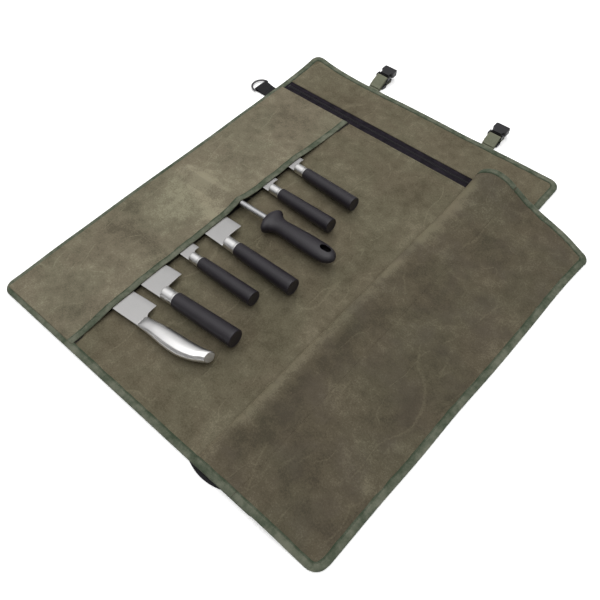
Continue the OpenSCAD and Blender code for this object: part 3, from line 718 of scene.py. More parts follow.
def seams():
    """Where the slots' seams run, from the CAD's divider webs."""
    co = vertices("pocket_dividers")
    ys = sorted(co[:, 1])
    groups = [[ys[0]]]
    for y in ys[1:]:
        if y - groups[-1][-1] > 5:
            groups.append([])
        groups[-1].append(y)
    return [sum(g) / len(g) for g in groups], co[:, 0].min(), co[:, 0].max()


seam_ys, seam_x0, seam_x1 = seams()
CLEAR = 0.3
held = obstacle_heights() + CLEAR
rest_h = TOP + 0.25 + 0.1 * smooth(0, 30, PX)
fixed = (PX < pocket_lo[0] + 2) | (PY < pocket_lo[1] + 2) | (PY > pocket_hi[1] - 4)
rim_lift = smooth(pocket_lo[0], mouth_x, PX) ** 0.8
lowest = np.maximum(held, rest_h)
# The mouth stands this high even where no tool holds it up.
mouth_h = 4.4 + 7.4 * smooth(10, 70, PY) * smooth(664, 560, PY)
target = TOP + (mouth_h - TOP) * rim_lift
H = np.maximum(lowest, target)
H[fixed] = rest_h[fixed]
seam_mask = np.zeros(PX.shape, bool)
for y in seam_ys:
    seam_mask[(px > seam_x0) & (px < seam_x1 - 14), int(np.argmin(abs(py - y)))] = True
seam_cap = TOP + 0.4 + np.maximum(target - TOP, 0) * 0.62
# The cloth is drawn tight over what it holds, and sags a little at each round.
ROUNDS, SAG = (900), 0.004
for _ in range(ROUNDS):
    avg = H.copy()
    avg[1:-1, 1:-1] = (H[:-2, 1:-1] + H[2:, 1:-1] + H[1:-1, :-2] + H[1:-1, 2:]) / 4
    avg[-1, 1:-1] = (2 * H[-2, 1:-1] + H[-1, :-2] + H[-1, 2:]) / 4
    H = avg - SAG
    H[seam_mask] = np.minimum(H[seam_mask], seam_cap[seam_mask])
    H = np.maximum(H, lowest)
    H[fixed] = rest_h[fixed]
H += 0.22 * waves(PX, PY, 70, 61) * rim_lift * smooth(0, 60, PY) * smooth(668, 560, PY) + 0.22
pocket_marks = [
    (74, 369, 40, 46, -10, 0.34), (123, 398, 34, 34, 0, 0.22), (132, 333, 36, 30, 0, 0.26),
    (32, 372, 20, 50, 0, 0.12), (160, 311, 16, 30, 0, 0.12), (100, 282, 34, 34, 0, 0.16),
    (59, 204, 34, 20, 20, -0.26), (70, 147, 40, 26, 0, -0.14), (108, 213, 30, 14, 0, -0.2),
    (76, 50, 60, 26, 0, -0.04), (26, 320, 12, 40, 0, -0.14), (22, 520, 16, 70, 0, -0.06),
    (71, 622, 40, 26, 0, -0.02), (96, 520, 40, 40, 0, 0.08), (90, 110, 50, 14, 30, 0.08),
    (30, 250, 16, 16, 0, -0.14), (70, 455, 30, 12, 0, -0.10),
]
p_tone = 1.35 * spots(PX, PY, pocket_marks) + 0.08 * waves(PX, PY, 50, 62) - 0.02
pocket_P = np.stack([shifted(PX, PY), PY, H + lift(PX, PY) * (1 - rim_lift)], -1)
pocket = shell("pocket_cloth", pocket_P, np.stack([PX + 700, PY], -1), 0.9, 0.0, p_tone)
finish_piece(pocket, POCKET, "roll", ["pocket_panel"])


pocket_N = normals(pocket_P)


def pocket_surface(x, y):
    """The pocket's mid-surface and its normals, between the points of its grid."""
    fx = np.clip((x - px[0]) / (px[-1] - px[0]) * (len(px) - 1), 0, len(px) - 1.001)
    fy = np.clip((y - py[0]) / (py[-1] - py[0]) * (len(py) - 1), 0, len(py) - 1.001)
    i, j = fx.astype(int), fy.astype(int)
    u, v = (fx - i)[..., None], (fy - j)[..., None]
    shares = ((0, 0, (1 - u) * (1 - v)), (1, 0, u * (1 - v)), (0, 1, (1 - u) * v), (1, 1, u * v))
    M, N = (sum(G[i + a, j + b] * share for a, b, share in shares) for G in (pocket_P, pocket_N))
    return M + N * 0.45, N / np.linalg.norm(N, axis=-1, keepdims=True)


THIN_HALF = 0.5
ys = np.arange(pocket_lo[1] - 4, pocket_hi[1] + 0.5, 2.0)
m_path = np.stack([np.full(len(ys), MOUTH_EDGE), ys], -1)
m_in = np.tile([-1.0, 0.0], (len(ys), 1))
bind(
    "mouth_tape", "mouth_thread", m_path, m_in, ys, pocket_surface, THIN_HALF, 71, "roll", ["pocket_binding"],
    both=False, cut=slice(4, -3),
)
rows = []
for y in seam_ys:
    p, _ = along(np.stack([np.linspace(seam_x0, seam_x1, 60), np.full(60, y)], -1), 3.6)
    M, N = pocket_surface(p[:, 0], p[:, 1])
    M2, _ = pocket_surface(p[:, 0] + 0.5, p[:, 1])
    rows.append((M + N * 0.42, (M2 - M) / np.linalg.norm(M2 - M, axis=1, keepdims=True), N))
ob = stitches("pocket_seams", *joined(rows), 2.4, 0.24)
finish_piece(ob, POCKET, "roll", ["pocket_dividers"])


# ---- Flap ----

# x where the fold begins and where the flap's second bend lies; y of the far edge above and below.
flap_len = span("flap_inner")[1][1]
lower_len = span("flap_lower")[1][1]
# The free edge is skewed: its near end lies further in than its far end, at FREE_Y.
TIP_SKEW, FREE_Y = 19, 668
tip_far = span("flap_outer")[1][0]
tip_near = tip_far - TIP_SKEW
low_z = (span("flap_lower")[0][2] + span("flap_lower")[1][2]) / 2
up_z = (span("flap_outer")[0][2] + span("flap_outer")[1][2]) / 2
# The flap's section at its near edge lies flat, and at its far edge it stands up in a hump over the handles.
SEC_START, SEC_END = 480.0, 570
FLAT_SEC = [
    (480, low_z), (470, low_z), (460, low_z), (454, low_z + 0.1), (451, low_z + 0.65), (449.7, low_z + 1.5),
    (449.5, low_z + 2.1), (449.8, low_z + 2.8), (450.9, low_z + 3.6), (453, up_z + 0.45),
    (457, up_z + 0.75), (464, up_z + 0.6), (475, up_z + 0.2), (490, up_z), (520, up_z), (545, up_z),
    (570, up_z),
]
HUMP_SEC = [
    (480, low_z), (470, 4.3), (460, 6.6), (453, 11), (450, 16.5), (451.2, 22.5), (456, 27.8), (464.5, 31.6),
    (476, 33.6), (490, 33.4), (506, 30.4), (521, 25.4), (535, 19.2), (547, 13.4), (557, 9.8), (570, up_z),
]
flat_c, hump_c = curve(FLAT_SEC, 0.25), curve(HUMP_SEC, 0.25)
FL = np.linalg.norm(np.diff(flat_c, axis=0), axis=1).sum()


def even(c, t):
    """Points at shares t of a curve's length."""
    s = lengths(c)
    return points_at(c, t * s[-1], s)


def matched(c):
    """The share of a curve's length at its leftmost point; the two sections are matched by it."""
    s = lengths(c)
    return s[np.argmin(c[:, 0])] / s[-1]


flat_k, hump_k = matched(flat_c), matched(hump_c)
# q is a length along the flap's section: 0 at SEC_START below, Q_A at the fold, FL at SEC_END above.
Q_A = flat_k * FL


def q_at(x):
    """q of the upper layer, past SEC_END."""
    return x - SEC_END + FL


def x_at(q):
    return SEC_END + q - FL


def section(q, w):
    """A point of the section at q; w goes from 0, flat, to 1, the hump."""
    t = np.clip(q / FL, 0, 1)
    h = np.where(t < flat_k, t / flat_k * hump_k, hump_k + (t - flat_k) / (1 - flat_k) * (1 - hump_k))
    A, B = even(flat_c, t), even(hump_c, h)
    return A * (1 - w[..., None]) + B * w[..., None]


def flap_mid(q, y):
    """The flap's mid-surface. q runs from the right edge below (-90), round the fold, to the tip."""
    w = smooth(585, flap_len, y) ** 1.3
    S = section(q, w)
    x, z = S[..., 0], S[..., 1]
    x = np.where(q < 0, SEC_START - q, np.where(q > FL, x_at(q), x))
    z = np.where(q < 0, low_z, np.where(q > FL, up_z, z))
    upper = smooth(Q_A, Q_A + 30, q)
    start = 580 + 46 * smooth(560, 615, y)
    z = z - 7.3 * smooth(start, start + 60, x) * upper
    wave = 0.8 * waves(x, y, 150, 81) + 0.35 * waves(x, y, 55, 82)
    z = z + upper * (wave + 0.3) * smooth(0, 40, y) * (1 - 0.8 * smooth(610, 650, x))
    tip = 667 + TIP_SKEW * y / FREE_Y
    z = z + upper * 0.7 * (waves(y, 0, 95, 83) + 0.4) * bell(tip - x, 0, 20)
    z = z + upper * 0.5 * waves(x, 0, 90, 84) * bell(y, 0, 20)
    out = 1.6 * waves(y, 0, 170, 85) * smooth(620, 665, x) * upper
    yy = y + 7 * w * bell(x, 482, 42) * upper
    return np.stack([x + out, yy, z], -1)


def flap_surface(q, y):
    """The flap's mid-surface and its normals."""
    e = 0.6
    M = flap_mid(q, y)
    N = np.cross(flap_mid(q + e, y) - flap_mid(q - e, y), flap_mid(q, y + e) - flap_mid(q, y - e))
    return M, N / np.maximum(np.linalg.norm(N, axis=-1, keepdims=True), 1e-9)


def q_of(x):
    """The upper layer's q at a distance from the sheet's left edge."""
    t = np.linspace(flat_k, 1, 2000)
    xs = even(flat_c, t)[:, 0]
    return float(np.interp(x, xs, t * FL)) if x < SEC_END else q_at(x)


# From here on the far edge slants in towards the free edge's far corner.
CUT_X = 562


def far_y(q):
    """Far edge of the flap's cloth."""
    low = lower_len + (flap_len - lower_len) * smooth(0, Q_A * 0.62, q)
    x = x_at(q)
    slope = flap_len - (x - CUT_X) * (flap_len - 667.2) / 109.5
    return np.where(q < Q_A, low, np.where(x > CUT_X, np.minimum(flap_len, slope), flap_len))


def tip_q(y):
    """q of the free edge."""
    return q_at(tip_near + (tip_far - tip_near) * np.clip(y / FREE_Y, 0, 1))


def corner_in(q, y, inset=0.0):
    """Pulls points in onto the flap's two round corners."""
    r_in = CORNER_R - inset
    for cx, cy, a1 in ((tip_near - CORNER_R, CORNER_R, -90), (tip_far - CORNER_R, FREE_Y - CORNER_R, 74)):
        dx, dy = q - q_at(cx), y - cy
        r, a = np.hypot(dx, dy), np.degrees(np.arctan2(dy, dx))
        inside = (a >= min(a1, 0)) & (a <= max(a1, 0)) & (r > r_in)
        k = np.where(inside, r_in / np.maximum(r, 1e-9), 1)
        q, y = q_at(cx) + dx * k, cy + dy * k
    return q, y


# The flap's marks, rows as in spots. The pale rows at x 452 and 453 paint a highlight along the fold's crest,
# and the dark rows near x 480 paint shade in a band past it; the rest are stains and wear.
flap_marks = [
    (481, 68, 22, 34, -20, -0.34), (486, 115, 26, 40, 0, -0.34), (479, 180, 20, 42, 0, -0.30),
    (484, 251, 26, 40, 0, -0.36), (482, 329, 28, 46, 0, -0.34), (539, 426, 34, 50, 30, -0.26),
    (573, 51, 30, 40, 0, -0.20), (615, 251, 34, 44, 0, -0.24), (477, 463, 22, 44, 0, -0.22),
    (565, 113, 34, 34, 0, -0.24), (554, 279, 36, 40, 0, -0.26), (535, 565, 40, 46, 0, -0.16),
    (653, 544, 24, 40, 0, -0.14), (648, 60, 24, 40, 0, -0.20), (668, 274, 16, 40, 0, -0.16),
    (453, 192, 9, 70, 0, 0.24), (453, 453, 9, 90, 0, 0.22), (452, 60, 6, 60, 0, 0.14),
    (452, 560, 8, 90, 0, 0.16), (503, 31, 20, 16, 0, 0.16), (523, 645, 40, 30, 0, 0.14),
    (470, 640, 20, 30, 0, 0.10), (641, 24, 30, 14, 0, 0.14), (650, 172, 20, 50, 0, 0.16),
    (658, 435, 20, 60, 0, 0.12), (610, 120, 16, 60, 20, 0.14), (590, 620, 60, 26, 0, 0.10),
    (600, 480, 30, 60, 20, 0.10), (520, 190, 16, 60, 10, 0.10), (560, 360, 14, 60, -20, 0.12),
]


def flap_tone(q, y):
    """Stains and wear of the flap, painted light and shade across the fold in its marks, and painted
    highlights: a pale band just past the fold and a pale line on its crest.
    """
    x = np.where(q < 0, 470.0, np.where(q > FL, x_at(q), even(flat_c, np.clip(q / FL, 0, 1))[..., 0]))
    # Painted highlights: a pale band just past the fold, where its ridge catches the light, and a pale line
    # on its crest.
    edge = 0.55 * bell(q - Q_A, 7, 17) * (0.7 + 0.4 * waves(y, 0, 120, 92)) * smooth(-3, 0, q - Q_A)
    line = 0.5 * bell(q, Q_A, 1.3)
    return 0.8 * spots(x, y, flap_marks) + 0.07 * waves(q, y, 60, 91) + 0.03 + edge + line


INSET = 2.0
HALF_FLAP = 0.48


def flap_cloth(name, Q, Y, body, node):
    ob = shell(name, flap_mid(Q, Y), np.stack([Q, Y], -1), HALF_FLAP, HALF_FLAP, flap_tone(Q, Y))
    return finish_piece(ob, FLAP, body, [node])


def flap_grid(qs):
    """A grid over the flap at the given q, from its near edge to its far one."""
    Q, v = grid(qs, steps((0, 0.8, 170), (0.8, 1, 80)))
    return Q, INSET + v * (far_y(Q) - INSET - INSET)


Q_B = q_of(522)
under_q = steps((-90, 0, 24), (0, Q_A - 4, 24), (Q_A - 4, Q_A, 22))
fold_q = steps((Q_A, Q_A + 10, 34), (Q_A + 10, Q_B - 1, 44), (Q_B - 1, Q_B, 3))
flap_under = flap_cloth("flap_under", *flap_grid(under_q), "roll", "flap_lower")
flap_fold = flap_cloth("flap_fold", *flap_grid(fold_q), None, "flap_inner")
u, v = grid(steps((0, 0.015, 3), (0.015, 1, 62)), steps((0, 0.04, 14), (0.04, 0.8, 160), (0.8, 1, 80)))
Q, Y = Q_B + 0 * v, INSET + v * 660
# Each edge's place depends on the other's, so the grid is fitted to them in a few rounds.
for _ in range(4):
    Q = Q_B + u * (tip_q(Y) - INSET - Q_B)
    Y = INSET + v * (far_y(Q) - 2 * INSET)
flap_top = flap_cloth("flap_top", *corner_in(Q, Y, INSET), None, "flap_outer")


def bend_fold(ob):
    """Bakes a piece's placement into its points."""
    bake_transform(ob)


def bend_top(ob):
    """Bakes a piece's placement into its points."""
    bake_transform(ob)


bend_fold(flap_fold)
bend_top(flap_top)


def flap_edge():
    """The flap's bound edge in (q, y): near edge, free edge and far edge, from fold to fold."""
    r, y1 = CORNER_R, FREE_Y - CORNER_R
    pts = [(q, 0.0) for q in np.linspace(0, tip_q(0) - r, 120)]
    pts += arc(q_at(tip_near - r), r, r, np.linspace(-88, -2, 14))
    pts += [(tip_q(y), y) for y in np.linspace(r + 1, y1 - 1, 200)]
    cx, q0 = q_at(tip_far - r), q_at(CUT_X)
    pts += arc(cx, y1, r, np.linspace(2, 72, 12))
    slant = np.linspace(cx + r * math.cos(math.radians(74)), q0, 46)[:-1]
    pts += [(q, float(far_y(np.array(q)))) for q in slant]
    pts += [(q, flap_len) for q in np.linspace(q0, 0, 150)]
    P = np.array(pts)
    s = lengths(P)
    at = np.arange(0, s[-1], 2.0)
    P = points_at(P, at, s)
    d = np.gradient(P, axis=0)
    d = np.stack([np.convolve(np.pad(d[:, i], 2, "edge"), np.ones(5) / 5, "valid") for i in (0, 1)], -1)
    d /= np.linalg.norm(d, axis=1, keepdims=True)
    return P, np.stack([-d[:, 1], d[:, 0]], -1), at


f_path, f_in, f_s = flap_edge()
f_q, near_part = f_path[:, 0], f_path[:, 1] < 300
# The bound edge in five runs: which points each takes, and the CAD node that it stands for.
runs = (
    ("flap_under_tape_near", (f_q > Q_A * 0.35) & (f_q <= Q_A + 2) & near_part, ()),
    ("flap_fold_tape_near", (f_q >= Q_A - 0.1) & (f_q <= Q_B) & near_part, ["flap_inner_binding"]),
    ("flap_top_tape", f_q > Q_B - 2, ["flap_outer_binding"]),
    ("flap_fold_tape_far", (f_q <= Q_B) & (f_q >= Q_A - 0.1) & ~near_part, ()),
    ("flap_under_tape_far", (f_q > Q_A * 0.62) & (f_q <= Q_A + 2) & ~near_part, ()),
)
for name, keep, node in runs:
    i = np.flatnonzero(keep)
    i = np.arange(i[0], i[-1] + 1)
    P, I, s = f_path[i], f_in[i], f_s[i]
    if "under" in name:
        # Too short a run to be given stitches.
        P[:, 0] = np.clip(P[:, 0], -100, Q_A)
        ob = folded_tape(name, P, I, s, flap_surface, THIN_HALF, 101)
        finish_piece(ob, BIND, "roll")
        continue
    top = name == "flap_top_tape"
    P[:, 0] = np.maximum(P[:, 0], Q_B) if top else np.clip(P[:, 0], Q_A, Q_B)
    thread = name.replace("tape", "thread")
    for ob in bind(name, thread, P, I, s, flap_surface, THIN_HALF, 101, None, node, cut=slice(1, -1)):
        (bend_top if top else bend_fold)(ob)


# ---- Webbing: ring tabs, straps, hanging tab ----


def strap(name, path, width, t, frame_at):
    """Webbing along path = [(u, z)], width across it; frame_at(u, v, z) puts it in place."""
    c = curve(path, 1.2)
    d = np.gradient(c, axis=0)
    d /= np.linalg.norm(d, axis=1, keepdims=True)
    n = np.stack([-d[:, 1], d[:, 0]], -1)
    h, w = t / 2, width / 2
    face = [(x, h * (1 - 0.25 * (abs(x) / w) ** 6)) for x in np.linspace(-w, w, 15)]
    ring = np.array(face + [(w + 0.35, 0.0)] + [(x, -z) for x, z in face[::-1]] + [(-w - 0.35, 0.0)])
    s = lengths(c)
    edge = 1 + 0.012 * waves(s, 0, 9, 111)
    U = c[:, None, 0] + n[:, None, 0] * ring[None, :, 1]
    Z = c[:, None, 1] + n[:, None, 1] * ring[None, :, 1]
    V = ring[None, :, 0] * edge[:, None]
    uv = np.stack(np.broadcast_arrays(ring[None, :, 0], s[:, None]), -1)
    k, m = len(c), len(ring)
    caps = np.array([range(m)[::-1], range((k - 1) * m, k * m)])
    faces = quads(k, m, True)
    flat = np.arange(len(faces) + 2) >= len(faces)
    return build(name, frame_at(U, V, Z).reshape(-1, 3), [faces, caps], uv.reshape(-1, 2), None, flat)


def loop_path(bar_u, bar_z, r, u_low, z_low, u_high, z_high, u_end=-25):
    """Out along the lower layer, round a bar and back along the upper one."""
    bar = arc(bar_u, bar_z, r, np.linspace(-95, 100, 12))
    return [(u_end, z_low), (u_low, z_low)] + bar + [(u_high, z_high), (u_high - 8, z_high - 0.6)]


ring_y = (span("ring_tab_left")[0][1] + span("ring_tab_left")[1][1]) / 2
for side, edge_x, sign in (("left", 0.0, -1.0), ("right", W, 1.0)):
    lo, hi = span("d_ring_" + side)
    tab_lo, tab_hi = span("ring_tab_" + side)
    bar_x = abs((hi[0] - 2 if side == "left" else lo[0] + 2) - edge_x)
    bar_z = (lo[2] + hi[2]) / 2
    at = lambda U, V, Z, e=edge_x, g=sign: np.stack([e + g * U, ring_y + V + 0 * U, Z], -1)
    path = loop_path(bar_x, bar_z, 3.0, 14, -0.95, 12, 0.85)
    ob = strap("tab_" + side, path, tab_hi[1] - tab_lo[1] - 0.8, 1.15, at)
    finish_piece(ob, BLACK_WEB, "roll", ["ring_tab_" + side])
    spots_at = [(u, v) for u in (6.0, 10.5) for v in np.arange(-13, 13.5, 2.1)]
    P = [(edge_x + sign * u, ring_y + v, (0.35 if u < 8 else 0.9) + 0.62) for u, v in spots_at]
    D, N = np.tile([0.0, 1, 0], (len(P), 1)), np.tile([0, 0, 1.0], (len(P), 1))
    ob = stitches("tab_thread_" + side, P, D, N, 1.7, 0.25)
    finish_piece(ob, BLACK_WEB, "roll")

for side in ("left", "right"):
    lo, hi = span("strap_" + side)
    cx, w = (lo[0] + hi[0]) / 2, hi[0] - lo[0] - 0.8
    # The strap's path, in y and z: out from the sheet, up to the socket's bar, round it and back.
    _, by, bz = np.array(joint("tilt_socket_" + side)["pos_m"]) * 1000 - ORIGIN
    _, ry, rz = np.array(joint("lift_strap_" + side)["pos_m"]) * 1000 - ORIGIN
    at = lambda U, V, Z, c0=cx: np.stack([c0 + V + 0 * U, U, Z], -1)
    up = lambda along_y, along_z, dz: (ry + along_y * (by - ry), rz + along_z * (bz - rz) + dz)
    path = [(ry - 8, 1.3), (ry - 2.5, 1.3), (ry + 1, 1.75), up(0.30, 0.20, -0.25), up(0.66, 0.56, -0.8)]
    path += arc(by, bz, 2.35, np.linspace(-68, 128, 13))
    path += [up(0.55, 0.66, 1.2), up(0.25, 0.26, 1.3), up(0.08, 0.10, 1.15)]
    ob = strap("short_strap_" + side, path, w, 1.1, at)
    finish_piece(ob, OLIVE, None, ["strap_" + side])
    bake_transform(ob)
    lo, hi = span("long_strap_" + side)
    zt = 0.45
    under = [(12.5, -0.9), (L - 14, -0.9), (L - 2, -0.95), (L + 3, -0.5), (L + 7, zt), (hi[1] - 1, zt)]
    ob = strap("under_strap_" + side, under, w, 1.05, at)
    finish_piece(ob, OLIVE, "roll", ["long_strap_" + side])

# The hanging tab bulges out from under the near edge; IN is how far it reaches in below the sheet.
lo, hi = span("hanging_tab")
cx, half_l, bulge = (lo[0] + hi[0]) / 2, (hi[0] - lo[0]) / 2, -lo[1]
IN = 18
X, v = grid(np.linspace(-half_l, half_l, 60), np.linspace(0, 1, 16))
out = bulge * (1 - (X / half_l) ** 2)
Y = IN - v * (IN + out)
rise = np.sin(np.pi * np.clip((v * (IN + out) - 14) / (4 + out + 3), 0, 1))
P = np.stack([cx + X, Y, -1.1 + 1.25 * rise * (1 - (X / half_l) ** 4)], -1)
ob = shell("edge_loop", P[:, ::-1], np.stack([X, Y], -1)[:, ::-1], 0.45, 0.45)
finish_piece(ob, BLACK_WEB, "roll", ["hanging_tab"])


# ---- Tools ----


def tool_frame(tool):
    """The tool's own axes and the front of its handle, from the CAD."""
    X = np.array(joint("draw_" + tool)["axis"], float)
    X /= np.linalg.norm(X)
    Y = np.cross([0, 0, 1.0], X)
    Y /= np.linalg.norm(Y)
    A = np.stack([X, Y, np.cross(X, Y)])
    loc = vertices(tool + "_handle") @ A.T
    return A, loc[loc[:, 0] < loc[:, 0].min() + 0.05].mean(0)


def place(P, A, front, shift=0.0):
    """Local points to the sheet's lengths; local x = shift lies at the handle's front."""
    return (np.asarray(P) - [shift, 0, 0] + front) @ A


def lathe(name, profile, A, front, shift=0.0, sides=72, rise=None):
    """Turned solid; rise = (front, rear, length) lifts its axis, so that it stays clear of the lining."""
    c = np.asarray(profile, float)
    a = np.linspace(0, 2 * np.pi, sides, endpoint=False)
    P = np.stack([np.repeat(c[:, :1], sides, 1), c[:, 1:] * np.cos(a), c[:, 1:] * np.sin(a)], -1)
    if rise:
        P[..., 2] += np.interp(c[:, :1], [0, rise[2]], rise[:2])
    return build(name, place(P.reshape(-1, 3), A, front, shift), quads(len(c), sides, True))


def rounded_profile(l, r0, r1, fillet, dish=0.5):
    """Profile of a round handle: rounded front, slight swell, rounded flat butt with a dished face."""
    a = np.radians(np.linspace(90, 0, 8))
    front = [(fillet * (1 - math.sin(t)), r0 - fillet + fillet * math.cos(t)) for t in a]
    xs = np.linspace(fillet, l - fillet, 26)[1:-1]
    mid = [(x, r0 + (r1 - r0) * ((x - fillet) / (l - 2 * fillet)) ** 0.92) for x in xs]
    back = [(l - fillet + fillet * math.sin(t), r1 - fillet + fillet * math.cos(t)) for t in a[::-1]]
    butt = [(l, r1 - fillet - 0.8), (l - dish * 0.5, r1 - fillet - 1.3), (l - dish, r1 - fillet - 2.2)]
    return [(0, AXIS_R)] + front + mid + back + butt + [(l - dish, AXIS_R)]


# A turned solid's two ends close to a point this near its axis.
AXIS_R = 0.02
# Round handles: length, radius and lift at the front, radius and lift at the rear; then the collar's
# length and radius.
ROUND = {
    "wide_knife_1": (122, 13.3, 1.45, 15.2, 0.1, 25, 11.4),
    "slim_knife_1": (117, 10.8, 0.95, 13.3, 0.1, 21, 9.1),
    "wide_knife_2": (123, 12.3, 1.25, 14.6, 0.3, 25, 10.7),
    "slim_knife_2": (117, 10.8, 0.95, 13.3, 0.1, 23, 9.1),
    "slim_knife_3": (117, 10.6, 0.75, 12.9, 0.1, 22, 9.1),
}
for tool, (l, r0, up0, r1, up1, _, _) in ROUND.items():
    ob = lathe(tool + "_grip", rounded_profile(l, r0, r1, 1.9), *tool_frame(tool), rise=(up0, up1, l))
    finish_piece(ob, HANDLE, tool, [tool + "_handle"])

for tool, (_, _, up0, _, up1, l, r) in ROUND.items():
    prof = [(-AXIS_R, AXIS_R), (-AXIS_R, r + 0.5), (-0.35, r + 0.62)]
    prof += [(-1.6, r + 0.45), (-3, r + 0.05), (-4.5, r - 0.05)]
    prof += [(-x, r - 0.1 + 0.12 * math.sin(x / l * math.pi)) for x in np.linspace(6, l - 2.2, 8)]
    prof += [(-l + 1.2, r - 0.12), (-l + 0.5, r - 0.4), (-l, r - 1.1), (-l, AXIS_R)]
    ob = lathe(tool + "_collar", prof, *tool_frame(tool), rise=(up0, up1, 120))
    finish_piece(ob, COLLAR, tool, [tool + "_ferrule"])

# x of a blade's root, heel and tip; y of its back and edge and of its tip; radius of the notch at the heel.
BLADES = {
    "steel_knife": (-3, -12, -205, 10, 34, 6, 9),
    "wide_knife_1": (-25, -30.5, -210, 11, 43, 8, 5),
    "slim_knife_1": (-21, -28, -162, 8.6, 21.5, 5, 7),
    "wide_knife_2": (-25, -33, -208, 11, 41, 8, 5),
    "slim_knife_2": (-23, -31, -162, 8.6, 24, 5, 7),
    "slim_knife_3": (-22, -29, -158, 8.4, 24, 5, 7),
}
# The local x that lies at the CAD handle's front, for the steel knife's grip and blade.
GRIP_SHIFT = -3.0
# The half thickness of a ground blade (second row) at shares of its width from the back (first row).
GROUND = np.array([
    (0, 0.012, 0.035, 0.2, 0.4, 0.6, 0.72, 0.80, 0.83, 0.92, 0.985, 1),
    (0.72, 0.94, 1.0, 0.98, 0.93, 0.88, 0.84, 0.81, 0.78, 0.46, 0.16, 0.05),
])
for tool, (root, heel, tip, back, edge, tip_y, choil) in BLADES.items():
    A, front = tool_frame(tool)
    shift = GRIP_SHIFT if tool == "steel_knife" else 0.0
    xs = tip + (heel - tip) * (1 - np.cos(np.linspace(0, np.pi / 2, 46)))
    xs = np.unique(np.concatenate([xs, [heel - 1.2, heel - 0.5, heel - 0.15, heel]]))
    t = (root - xs) / (root - tip)
    yb = -back + (back + tip_y) * t**3.2
    te = (xs - tip) / (heel - tip)
    ye = edge - (edge - tip_y) * (1 - te) ** 2.3
    ye[-4:] -= np.array([0.0, 0.15, 0.5, 1.4])
    neck = back - 1
    notch = 1 - np.cos(np.linspace(0, np.pi / 2, 9)[1:])
    cx = np.concatenate([[heel + 0.02], heel + choil * notch, [root]])
    cx = cx[cx <= root + 1e-6]
    cy = neck + choil - np.sqrt(np.clip(choil**2 - (heel + choil - cx) ** 2, 0, None))
    cy = np.where(cx > heel + choil, neck, cy)
    X = np.concatenate([xs, cx])
    YB = np.concatenate([yb, -back + (back + tip_y) * ((root - cx) / (root - tip)) ** 3.2])
    YE = np.concatenate([ye, cy])
    f, half = GROUND
    thin = 1 - 0.3 * np.clip((heel - X) / (heel - tip), 0, 1)
    P = np.zeros((len(X), len(f), 3))
    P[..., 0] = X[:, None]
    P[..., 1] = YB[:, None] + f * (YE - YB)[:, None]
    full = np.where(X > heel, 1.0, 0.0)[:, None]
    back_half = np.interp(abs(P[..., 1] - YB[:, None]), [0, 0.4, 1.2], [0.72, 0.94, 1.0])
    edge_half = np.interp(abs(YE[:, None] - P[..., 1]), [0, 0.5, 1.2], [0.6, 0.92, 1.0])
    neck_half = np.minimum(back_half, edge_half)
    P[..., 2] = (half[None] * (1 - full) + neck_half * full) * thin[:, None]
    faces, flat = closed_sheet(*P.shape[:2])
    P = P.reshape(-1, 3)
    P = place(np.concatenate([P, P * [1, 1, -1]]), A, front, shift)
    ob = build(tool + "_steel", P, faces, None, None, flat)
    finish_piece(ob, BLADE, tool, [tool + "_blade"])


def lofted(stations, per_mm, sides, ridge=0.0, ridge_at=80.0, ridge_w=18.0):
    """Smooth oval rings through stations [x, y, z, half width, half height, squareness]."""
    a = np.linspace(0, 2 * np.pi, sides, endpoint=False)
    c, s = np.cos(a), np.sin(a)
    rings = []
    for x, y, z, hw, hh, sq in curve(stations, per_mm):
        g = 1 + ridge * min(1, max(0, (x + 4) / 30)) * bell(np.degrees(a), ridge_at, ridge_w)
        oval = (y + hw * np.sign(c) * abs(c) ** sq * g, z + hh * np.sign(s) * abs(s) ** sq * g)
        rings.append(np.stack([np.full(sides, x), *oval], -1))
    return np.array(rings)


def capped(name, R, A, front, shift=0.0, flat_ends=False):
    """A solid from rings of points, closed at both ends."""
    n, m = R.shape[:2]
    P = np.concatenate([R.reshape(-1, 3), [R[0].mean(0), R[-1].mean(0)]])
    j = np.arange(m)
    j2, last = (j + 1) % m, (n - 1) * m
    tri = np.concatenate([
        np.stack([np.full(m, n * m), j2, j], -1), np.stack([np.full(m, n * m + 1), last + j, last + j2], -1)
    ])
    flat = np.concatenate([np.zeros((n - 1) * m, bool), np.full(2 * m, flat_ends)])
    return build(name, place(P, A, front, shift), [quads(n, m, True), tri], None, None, flat)


R = lofted([
    [-11.5, 0, 0, 10.0, 1.1, 1], [-9, 0, 0, 10.3, 2.6, 1], [-5, 0, 0, 10.7, 4.4, 1],
    [1, 0.1, 0, 11.2, 6.0, 1], [9, 0.3, 0, 12.0, 7.4, 1], [20, 0.5, 0, 13, 8.8, 1],
    [38, 0.2, 0, 14.8, 9.6, 1], [56, 0, 0, 15.6, 10, 1],
    [74, 0.5, 0, 15.4, 10, 1], [90, 2.5, 0.3, 14, 9.6, 1], [104, 5.6, 0.6, 12.2, 9, 1],
    [114, 8.4, 0.8, 10.9, 8.4, 1], [118.6, 9.9, 1, 10.2, 7.8, 1], [120.0, 10.2, 1, 9.9, 7.5, 1],
    [120.6, 10.3, 1, 9.4, 7.1, 1], [120.8, 10.3, 1, 8.9, 6.7, 1],
], 0.8, 88, ridge=0.07, ridge_at=128, ridge_w=9)
# The cut end slants: the far side and the underside run on a little further.
R[..., 0] += smooth(98, 118, R[..., 0]) * (0.12 * (R[..., 1] - 10.4) - 0.45 * (R[..., 2] - 1) - 3.0)
ob = capped("steel_knife_grip", R, *tool_frame("steel_knife"), GRIP_SHIFT, True)
finish_piece(ob, GRIP, "steel_knife", ["steel_knife_handle"])

